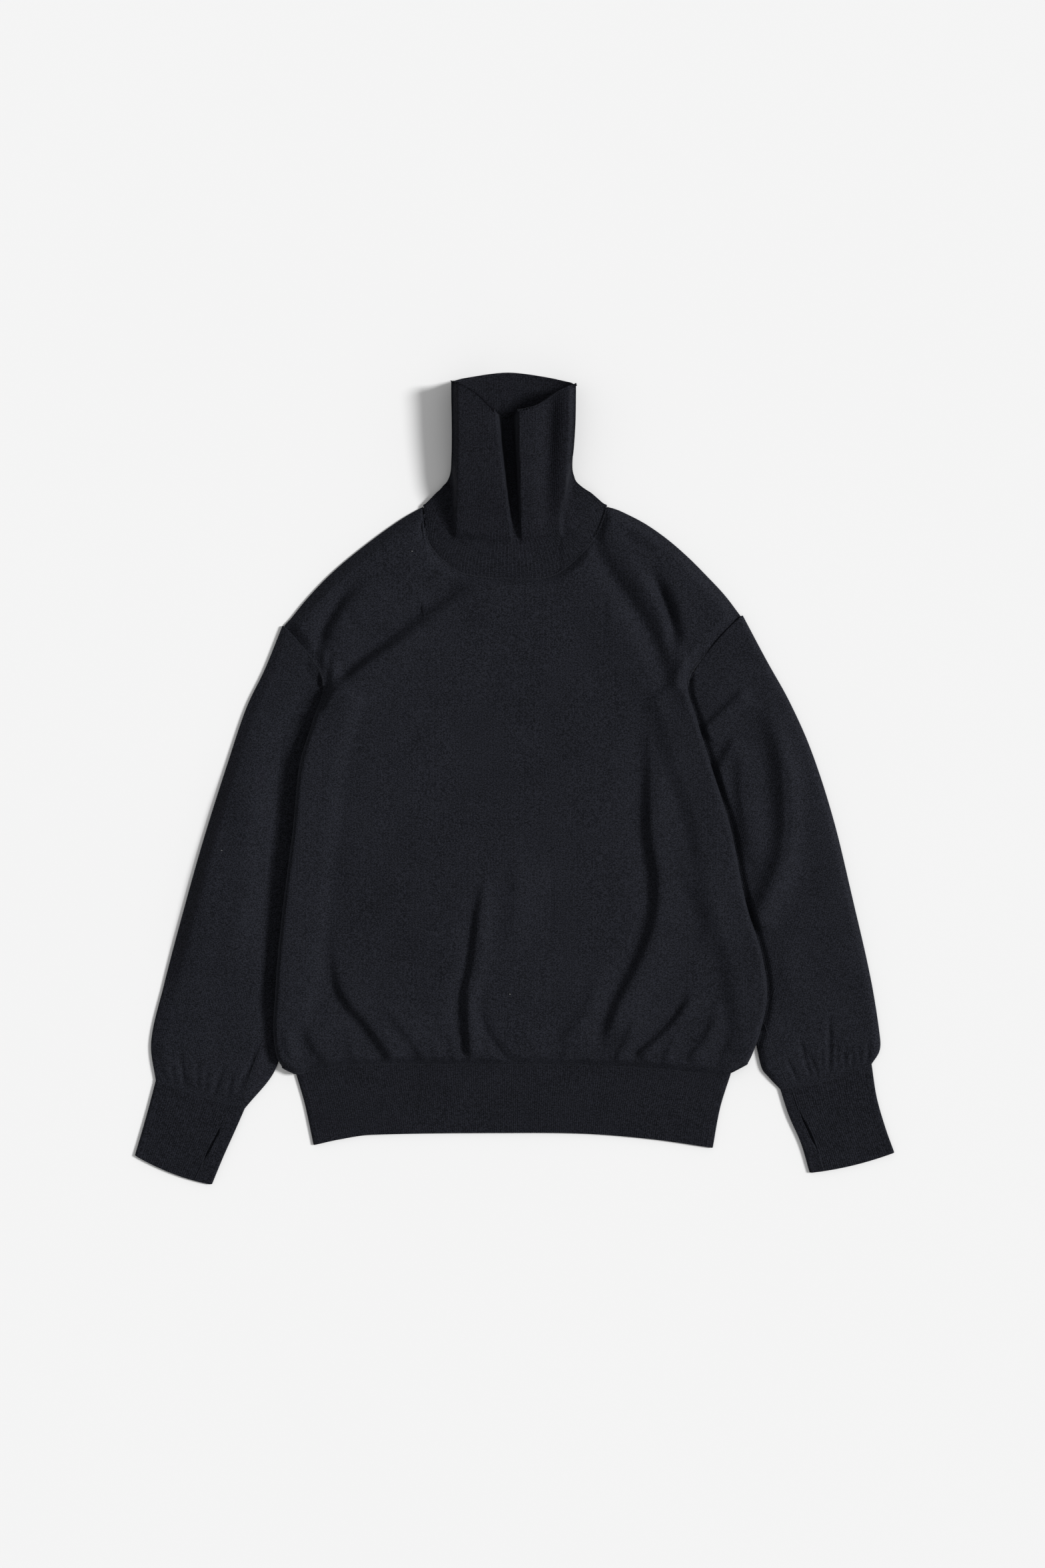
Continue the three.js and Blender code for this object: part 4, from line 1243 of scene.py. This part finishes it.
@dataclass
class Arm:
    """One sleeve with its cuff and thumb slit.

    Attributes:
        side: Which arm.
        sleeve_rows: The sleeve's sections.
        cuff_rows: The cuff's sections.
        slit_top: Place of the cuff's seam across, at the sleeve.
        slit_end: The same at the cuff's free edge.
        underarm: Course of the underarm seam where it shows.
        body: The body, whose side lies over the sleeve.
        rest: Height of a sleeve with no folds in it above its two layers.
        slit_width: Widest opening of the thumb slit.
        relief: The sleeve's folds.

    The slit's lips stay CLOSED millimetres from its middle where it is sewn shut, and a gap below SHUT
    times that is sewn. It is open between the shares SLIT_FROM and SLIT_TO of the cuff's length. A
    cuff's cloth puffs up by CUFF_PUFF. The sleeve's folds end at HIGHEST, start at EDGE_START of their
    height at its edges, flatten to CUFF_SHARE over CUFF_FADE towards the cuff, and rise to the body over
    ARMHOLE_REACH beside the armhole seam.
    """

    side: Side
    sleeve_rows: list[TubeRow]
    cuff_rows: list[TubeRow]
    slit_top: float
    slit_end: float
    underarm: list[Point]
    body: Body
    rest: float = 3.4
    slit_width: float = 3.4
    relief: Relief = field(default_factory=lambda: Relief(SLEEVE_FOLDS))

    CLOSED = 0.12
    SHUT = 4
    CUFF_WIDTH = 95.0
    CUFF_LENGTH = 85.0
    CUFF_PUFF = 0.3
    SLEEVE_WIDTH = 120.0
    SLEEVE_LENGTH = 490.0
    CUFF_FADE = 17
    CUFF_SHARE = 0.2
    ARMHOLE_REACH = 18
    EDGE_START = 0.13
    HIGHEST = 12
    SLIT_FROM = 0.3
    SLIT_TO = 0.8
    UNDERARM_STEPS = 24

    @property
    def edge_ramp(self) -> float:
        """Width over which the sleeve rises from its folded edges: the left one lies flatter."""
        return 8.0 if self.side is Side.RIGHT else 18.0

    @property
    def free_ramp(self) -> float:
        """Width over which the sleeve rises beside the body's edge: the left one dips wider there."""
        return 7.0 if self.side is Side.RIGHT else 24.0

    def sleeve_puff(self, x: Array, y: Array, edge: Array) -> Array:
        """Works out the sleeve's folds, which flatten where the body lies over them.

        Args:
            x: Places across.
            y: Places along.
            edge: Distance from the nearer folded edge.

        Returns:
            The height added on top at each place.
        """
        clear = np.abs(x) - self.body.side(x, np.clip(y, HEM_CORNER, ARMHOLE_FOOT))
        free = smooth((clear - 1) / self.free_ramp)
        height = np.clip(self.rest + self.relief.at(x, y), 0, self.HIGHEST)
        height = height * free * smooth(edge / self.edge_ramp + self.EDGE_START)
        cuff_end = self.sleeve_rows[-1]
        end_x, end_y = (np.array(place) for place in zip(cuff_end.outer, cuff_end.inner))
        full = smooth(distance_to(x, y, end_x, end_y) / self.CUFF_FADE)
        height = height * (self.CUFF_SHARE + (1 - self.CUFF_SHARE) * full)
        seam = [row for row in BODY_SIDES if row.y >= ARMHOLE_FOOT]
        seam_x = np.array([getattr(row, self.side.value) for row in seam], float)
        seam_y = np.array([row.y for row in seam], float)
        near = smooth(1 - distance_to(x, y, seam_x, seam_y) / self.ARMHOLE_REACH)
        above = y - ARMHOLE_FOOT
        rise = self.body.lift * (1 - smooth(above / self.body.armhole)) * smooth(above / 12)
        return np.maximum(height, rise * near * smooth(edge / 6))

    def cuff_puff(self, x: Array, y: Array, edge: Array) -> Array:
        """Height that the cuff's upper layer puffs up by, the same everywhere."""
        return self.CUFF_PUFF + 0 * x

    def slit(self, t: Array) -> tuple[Array, Array]:
        """Works out the cuff's opening.

        Args:
            t: Shares of the way along the cuff.

        Returns:
            The opening's place across and its half-width, as shares of the cuff's width.
        """
        centre = self.slit_top + (self.slit_end - self.slit_top) * t
        opening = smooth((t - self.SLIT_FROM) / 0.14) * smooth((self.SLIT_TO - t) / 0.18)
        return centre, (self.CLOSED + self.slit_width / 2 * opening) / self.CUFF_WIDTH

    def build(
        self, knit: bpy.types.Material, rib: bpy.types.Material, seam: bpy.types.Material,
    ) -> ClothGrid:
        """Makes the sleeve and the cuff with their seams.

        Args:
            knit: The plain knit finish.
            rib: The rib finish.
            seam: The linking yarn's finish.

        Returns:
            The sleeve's grid, for what lies on it.
        """
        word, mirrored = self.side.value, self.side is Side.RIGHT
        sleeve, sleeve_grid = FlatTube(
            f"{word}_sleeve_cloth", f"sleeve_{word}", section_plan(self.sleeve_rows),
            self.SLEEVE_WIDTH, self.SLEEVE_LENGTH, self.sleeve_puff, columns=66, rows=160,
            mirrored=mirrored,
        ).build(knit, Slot.KNIT)
        cuff, cuff_grid = FlatTube(
            f"{word}_cuff_rib", f"cuff_{word}", section_plan(self.cuff_rows),
            self.CUFF_WIDTH, self.CUFF_LENGTH, self.cuff_puff, columns=200, rows=24,
            rib_pitch=RIB_PITCH, slit=self.slit, mirrored=mirrored,
        ).build(rib, Slot.RIB)
        start = cuff_grid.points[:, 0]
        front = start[start[:, 2] > TUBE_HEIGHT / 2]
        order = np.argsort(front[:, 0])
        cuff_seam = Seam(f"{word}_cuff_linking", width=1.6, height=0.9)
        cuff_seam.build(front[order] + (0, 0.4, 0), seam)
        self.thumb_seam(cuff_grid, seam)
        self.underarm_seam(sleeve_grid, seam)
        return sleeve_grid

    def underarm_seam(self, sleeve_grid: ClothGrid, seam: bpy.types.Material) -> None:
        """Lays the underarm seam on the sleeve where it shows.

        Args:
            sleeve_grid: The sleeve's grid.
            seam: The linking yarn's finish.
        """
        places = np.linspace(self.underarm[0][0], self.underarm[-1][0], self.UNDERARM_STEPS)
        course = np.array([(x, through(self.underarm, x)) for x in places])
        lie = [(x, y, height_of(sleeve_grid, x, y) - 0.1) for x, y in course]
        name = f"{self.side.value}_underarm_linking"
        Seam(name, width=1.1, height=0.7).build(np.array(lie), seam)

    def thumb_seam(self, cuff_grid: ClothGrid, seam: bpy.types.Material) -> None:
        """Closes the cuff's joint above and below its slit.

        Args:
            cuff_grid: The cuff's grid, whose first column is one lip of the joint.
            seam: The linking yarn's finish.
        """
        lip = (cuff_grid.points[0] + cuff_grid.points[-1]) / 2
        gap = np.linalg.norm(cuff_grid.points[0] - cuff_grid.points[-1], axis=1)
        shut = gap < self.SHUT * self.CLOSED
        above = np.arange(len(lip)) < len(lip) // 2
        for word, part in (("upper", above), ("lower", ~above)):
            name = f"{self.side.value}_{word}_thumb_linking"
            Seam(name, width=1.2, height=0.8).build(lip[shut & part] + (0, 0, 0.1), seam)


@dataclass
class HemBand:
    """The ribbed band round the bottom edge.

    Attributes:
        overlap: How far it reaches up to the body's cloth.
        puff_height: Mean height that its upper layer puffs up by.
        unevenness: How far that height changes either way.
    """

    overlap: float = 0.4
    puff_height: float = 0.5
    unevenness: float = 0.25

    WIDTH = 445.0
    LENGTH = 74.0

    def plan(self, s: Array, t: Array) -> tuple[Array, Array]:
        """Lays the band out between the body's lower edge and its own.

        Args:
            s: Share of the way from the left edge to the right.
            t: Share of the way from the seam to the free edge.

        Returns:
            x and y.
        """
        left, right = HEM_SIDES[-1].left, HEM_SIDES[-1].right
        top = through(HEM_SEAM, left + (right - left) * s) + self.overlap
        bottom = through(HEM_BOTTOM, HEM_BOTTOM[0][0] + (HEM_BOTTOM[-1][0] - HEM_BOTTOM[0][0]) * s)
        y = top + (bottom - top) * t
        left, right = column(HEM_SIDES, "y", "left", y), column(HEM_SIDES, "y", "right", y)
        return left + (right - left) * s, y

    def puff(self, x: Array, y: Array, edge: Array) -> Array:
        """Height that the upper layer puffs up by, slowly uneven along the band."""
        return (self.puff_height + self.unevenness * np.sin(x / 37) * np.cos(y / 19)) * smooth(edge / 8)

    def build(self, rib: bpy.types.Material) -> None:
        """Makes the band."""
        band, _ = FlatTube(
            "hem_rib", "hem_band", self.plan, self.WIDTH, self.LENGTH, self.puff,
            columns=960, rows=8, rib_pitch=RIB_PITCH,
        ).build(rib, Slot.RIB)


@dataclass
class Collar:
    """The ribbed high collar, standing open from the neck seam to its mouth.

    Attributes:
        rib_pitch: Distance between ribs.
        rib_depth: Height of a rib.
        wall: The cloth's thickness.
        wall_width: How far in from its sides the standing tube reaches its full height.
        columns: Steps round the tube.
        columns_a_rib: How many of them make up one rib.
        rows: Steps along it.
        round_length: Length round the cloth at the rim.
        height: Length of the cloth from the neck seam to the rim.
        flank_rise: How far the standing tube's sides rise towards its left and right edge.
        wall_ease: Distance over which the tube's two walls rise from the flat base.
    """

    rib_pitch: float = RIB_PITCH
    rib_depth: float = 0.2
    wall: float = 1.6
    wall_width: float = 8.0
    columns: int = 700
    columns_a_rib: int = 5
    rows: int = 50
    round_length: float = 330.0
    height: float = 190.0
    flank_rise: float = 13.0
    wall_ease: float = 5.5

    @staticmethod
    def at(name: str, t: Array) -> Array:
        """Reads a column of the section table at a share of the collar's height."""
        return column(COLLAR_ROWS, "t", name, t)

    def points(self, turn: Array, t: Array) -> Array:
        """Points of the collar's outer face.

        Args:
            turn: Angle round the tube; the front is from 0 to pi.
            t: Share of the way from the neck seam to the mouth.

        Returns:
            The points, in millimetres.
        """
        reach = np.sin(turn)
        share = (1 - np.cos(turn)) / 2
        left, right = self.at("left", t), self.at("right", t)
        x = left + (right - left) * share
        # The section is squarest at the neck seam
        crown = np.abs(reach) ** (0.34 + 0.16 * smooth(t / 0.5))
        side_z, front_z = self.heights(x, t, share, crown)
        y = np.where(reach < 0, self.back_course(t, share, reach), self.front_course(x, t, share))
        z = np.where(reach < 0, side_z * (1 - crown), front_z)
        return np.stack(np.broadcast_arrays(x, y, z), 2)

    def heights(self, x: Array, t: Array, share: Array, crown: Array) -> tuple[Array, Array]:
        """Heights of the collar's sides and of its front.

        Args:
            x: Places across, in millimetres.
            t: Share of the way from the neck seam to the mouth.
            share: Share of the way from the left side to the right.
            crown: How much of the section's height is reached there.

        Returns:
            The height of the sides and the height of the front.
        """
        flank = smooth((np.abs(2 * share - 1) - 0.4) / 0.6) * smooth((t - 0.4) / 0.2)
        side_z = self.at("side_z", t) + self.flank_rise * flank
        base_z = np.maximum(self.at("base_z", t), side_z)
        from_left = smooth((x - self.at("wall_left", t)) / self.wall_ease)
        from_right = smooth((self.at("wall_right", t) - x) / self.wall_ease)
        # The tube is lower towards the right, and less so close to its right side
        dome = 1 - 0.2 * share + 0.15 * smooth((share - 0.7) / 0.28) * smooth((t - 0.36) / 0.2)
        width = self.at("right", t) - self.at("left", t)
        beside = smooth(np.minimum(share, 1 - share) * width / self.wall_width)
        tube = (self.at("top_z", t) * dome - base_z) * from_left * from_right * beside
        dents = self.dents(x, t) * self.at("valley", t) * smooth(crown * 1.6)
        return side_z, side_z + (base_z - side_z) * crown + tube - dents

    def front_course(self, x: Array, t: Array, share: Array) -> Array:
        """Where the collar's front lies along Y.

        Args:
            x: Places across, in millimetres.
            t: Share of the way from the neck seam to the mouth.
            share: Share of the way from the left side to the right.

        Returns:
            y at each place.
        """
        side_y = self.at("side_y", t)
        middle_x = (self.at("left", t) + self.at("right", t)) / 2
        outward = 0.9 * np.clip((x - middle_x) / 60, -1, 1)
        seam_y = through(FRONT_NECK, x + outward) + 0.3
        crease_y = through(COLLAR_CREASE, share)
        rim_y = through(COLLAR_RIM, share)
        # The flat base runs up to the crease, and the tube's front from there to the rim
        low = seam_y + (crease_y - 4 - seam_y) * np.clip(t / 0.26, 0, 1)
        step = (7 + 8 * np.sin(np.pi * share)) * smooth((t - 0.24) / 0.18)
        middle_y = low + step + (rim_y - crease_y - 2) * np.clip((t - 0.34) / 0.66, 0, 1)
        # Close to its sides, the cloth follows them
        edge = 0.004 + 0.07 * smooth(t / 0.2) - 0.03 * smooth((t - 0.4) / 0.3)
        centred = smooth(share / edge) * smooth((1 - share) / edge)
        front_y = side_y + (middle_y - side_y) * centred
        return front_y + (rim_y - front_y) * smooth((t - 0.8) / 0.2)

    def back_course(self, t: Array, share: Array, reach: Array) -> Array:
        """Where the collar's back lies along Y.

        Args:
            t: Share of the way from the neck seam to the mouth.
            share: Share of the way from the left side to the right.
            reach: Sine of the angle round the tube.

        Returns:
            y at each place.
        """
        past_side = through(COLLAR_BACK_RIM, share) - COLLAR_ROWS[-1].side_y
        back_y = self.at("side_y", t) + past_side * smooth((t - 0.5) / 0.5)
        middle = np.abs(reach) * (1 - t)
        return back_y + 10 * middle * smooth((t - 0.3) / 0.2) - 6 * middle

    @staticmethod
    def dents(x: Array, t: Array) -> Array:
        """Shapes the deep valley and the shallow trough beside it.

        Args:
            x: Places across, in millimetres.
            t: Share of the way from the neck seam to the mouth.

        Returns:
            Depths as a share of the valley's depth.
        """
        down = np.clip((1 - t) / 0.67, 0, 1)
        valley = np.exp(-(np.abs((x + 7.6 - 10.6 * down) / (10.2 - 5.4 * down)) ** 6))
        trough = 0.26 * np.exp(-(((x - 40 + 5 * down) / 10) ** 2)) * smooth(down * 3 + 0.2)
        return valley + trough

    def build(self, rib: bpy.types.Material) -> None:
        """Makes the collar."""
        turn = 2 * np.pi * (np.arange(self.columns)[:, None] + 0.5) / self.columns
        t = fine_ends(self.rows, self.height)[None, :]
        points = self.points(turn, t)
        share = np.concatenate([turn, turn[:1] + 2 * np.pi]) / (2 * np.pi)
        flat = np.stack(np.broadcast_arrays(share * self.round_length, t * self.height), 2)
        grid = ClothGrid(points, flat, True, self.columns_a_rib)
        count = round(self.round_length / self.rib_pitch)
        # The ribs are shallower on the standing tube
        ribs = self.rib_depth * (1 - 0.45 * smooth((t - 0.2) / 0.2)) * np.cos(turn * count)
        grid.points = points + grid.normals() * ribs[..., None]
        grid.points[..., 2] = np.maximum(grid.points[..., 2], 0)
        collar = grid.build("collar_rib", self.wall)
        settle(collar, rib, Slot.RIB, "collar")


@dataclass
class Lint:
    """A few pale fibres that lie on the cloth.

    Attributes:
        length: Length of a fibre in millimetres.
        thickness: Its thickness.

    A fibre turns through CURL radians in RINGS rings of SIDES points.
    """

    length: float = 1.5
    thickness: float = 0.22

    CURL = 2.6
    RINGS = 9
    SIDES = 6

    def build(self, name: str, grid: ClothGrid, x: float, y: float, finish: bpy.types.Material) -> None:
        """Lays one fibre on a cloth, curled to a half ring.

        Args:
            name: The fibre's name.
            grid: The cloth under it.
            x: Its place across.
            y: Its place along.
            finish: Its material.
        """
        height = height_of(grid, x, y) + self.thickness
        turn = np.linspace(0, self.CURL, self.RINGS)
        size = self.length / self.CURL
        spine = np.stack([x + size * np.cos(turn), y + size * np.sin(turn), height + 0 * turn], 1)
        ring = 2 * np.pi * np.arange(self.SIDES)[None, :, None] / self.SIDES
        out = np.stack([np.cos(turn), np.sin(turn), 0 * turn], 1)[:, None]
        up = np.array([0, 0, 1.0])
        body = spine[:, None] + self.thickness / 2 * (np.cos(ring) * out + np.sin(ring) * up)
        number = np.arange(self.RINGS * self.SIDES).reshape(self.RINGS, self.SIDES)
        number = np.concatenate([number, number[:, :1]], 1)
        piece = new_mesh(name, body.reshape(-1, 3), ClothGrid.quads(number)[:, ::-1])
        settle(piece, finish, Slot.KNIT)


# Studio and assembly
@dataclass
class Studio:
    """The pale floor, the soft light and the camera straight above.

    Attributes:
        centre: Point under the camera, in metres.
        frame_height: Height of the picture on the floor, in metres.
        distance: Camera's height above the floor, in metres.
        key_strength: Strength of the key light.
        key_height: Its angle above the floor in degrees.
        key_heading: Its direction in plan, in degrees from +X towards +Y.
        key_softness: Its width as an angle in degrees.
        fill: Strength of the light from all round.
        floor_half: Half the side of the square floor, in millimetres.
        floor_tone: The floor's grey.
    """

    centre: tuple[float, float] = (0.0099, -0.0046)
    frame_height: float = 1.6636
    distance: float = 3.0
    key_strength: float = 3.4
    key_height: float = 36.0
    key_heading: float = 8.0
    key_softness: float = 14.0
    fill: float = 0.42
    floor_half: float = 6000.0
    floor_tone: float = 0.86

    def camera(self) -> None:
        """Places the camera, looking straight down."""
        data = bpy.data.cameras.new("overhead")
        data.sensor_fit = "VERTICAL"
        data.angle = 2 * math.atan(self.frame_height / 2 / self.distance)
        camera = bpy.data.objects.new("overhead", data)
        camera.location = (*self.centre, self.distance)
        bpy.context.scene.collection.objects.link(camera)
        bpy.context.scene.camera = camera

    def key(self) -> None:
        """Adds the key light, far off to the right."""
        data = bpy.data.lights.new("key", "SUN")
        data.energy, data.angle = self.key_strength, math.radians(self.key_softness)
        height, heading = math.radians(self.key_height), math.radians(self.key_heading)
        flat = math.cos(height)
        toward = Vector((flat * math.cos(heading), flat * math.sin(heading), math.sin(height)))
        lamp = bpy.data.objects.new("key", data)
        lamp.location = toward * self.distance
        lamp.rotation_euler = (-toward).to_track_quat("-Z", "Y").to_euler()
        bpy.context.scene.collection.objects.link(lamp)

    def build(self) -> None:
        """Makes the floor and the lights."""
        half = self.floor_half
        corners = np.array([(-half, -half, 0), (half, -half, 0), (half, half, 0), (-half, half, 0)])
        floor = new_mesh("floor", corners, np.array([[0, 1, 2, 3]]))
        finish = PlainFinish("pale_floor", (self.floor_tone,) * 3, change=0.004, scale=3)
        floor.data.materials.append(finish.build())
        self.key()
        world = bpy.data.worlds.new("studio")
        world.use_nodes = True
        back = world.node_tree.nodes["Background"]
        back.inputs["Color"].default_value = (1, 1, 1, 1)
        back.inputs["Strength"].default_value = self.fill
        bpy.context.scene.world = world
        bpy.context.scene.view_settings.view_transform = "Standard"


def main() -> None:
    """Builds the studio and the sweater in order."""
    logging.basicConfig(level=logging.INFO, format="%(message)s")
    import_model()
    studio = Studio()
    studio.camera()
    studio.build()
    loops, mottle = stitch_group(), mottle_group()
    knit = YarnFinish(
        "navy_black_knit", dark=(0.0039, 0.0043, 0.0062), light=(0.0183, 0.0195, 0.0262),
        flecks=4.4, columns=620, rows=800, relief=0.0003, sheen=0.12,
    ).build(loops, mottle)
    rib = YarnFinish(
        "navy_black_rib", dark=(0.0034, 0.0037, 0.0054), light=(0.0159, 0.0169, 0.0228),
        flecks=4.0, columns=870, rows=800, relief=0.0003, sheen=0.06,
    ).build(loops, mottle)
    seam = YarnFinish(
        "linking_yarn", dark=(0.004, 0.0044, 0.006), light=(0.024, 0.0255, 0.033),
        flecks=2.0, columns=900, rows=590, relief=0.0004, sheen=0.06,
    ).build(loops, mottle)
    pale = PlainFinish("pale_lint", (0.6, 0.6, 0.58), change=0.1, scale=900).build()
    body = Body()
    front = body.build(knit, seam)
    left_arm = Arm(
        Side.LEFT, LEFT_SLEEVE, LEFT_CUFF, slit_top=0.85, slit_end=0.77, underarm=LEFT_UNDERARM, body=body,
    )
    right_arm = Arm(
        Side.RIGHT, RIGHT_SLEEVE, RIGHT_CUFF, slit_top=0.88, slit_end=0.83, underarm=RIGHT_UNDERARM,
        body=body,
    )
    left = left_arm.build(knit, rib, seam)
    right_arm.build(knit, rib, seam)
    HemBand().build(rib)
    Collar().build(rib)
    for number, (grid, x, y) in enumerate([(front, -107, 241), (front, -3.5, -227), (left, -308, -75)], 1):
        Lint().build(f"lint_{number}", grid, x, y, pale)


if __name__ == "__main__":
    main()
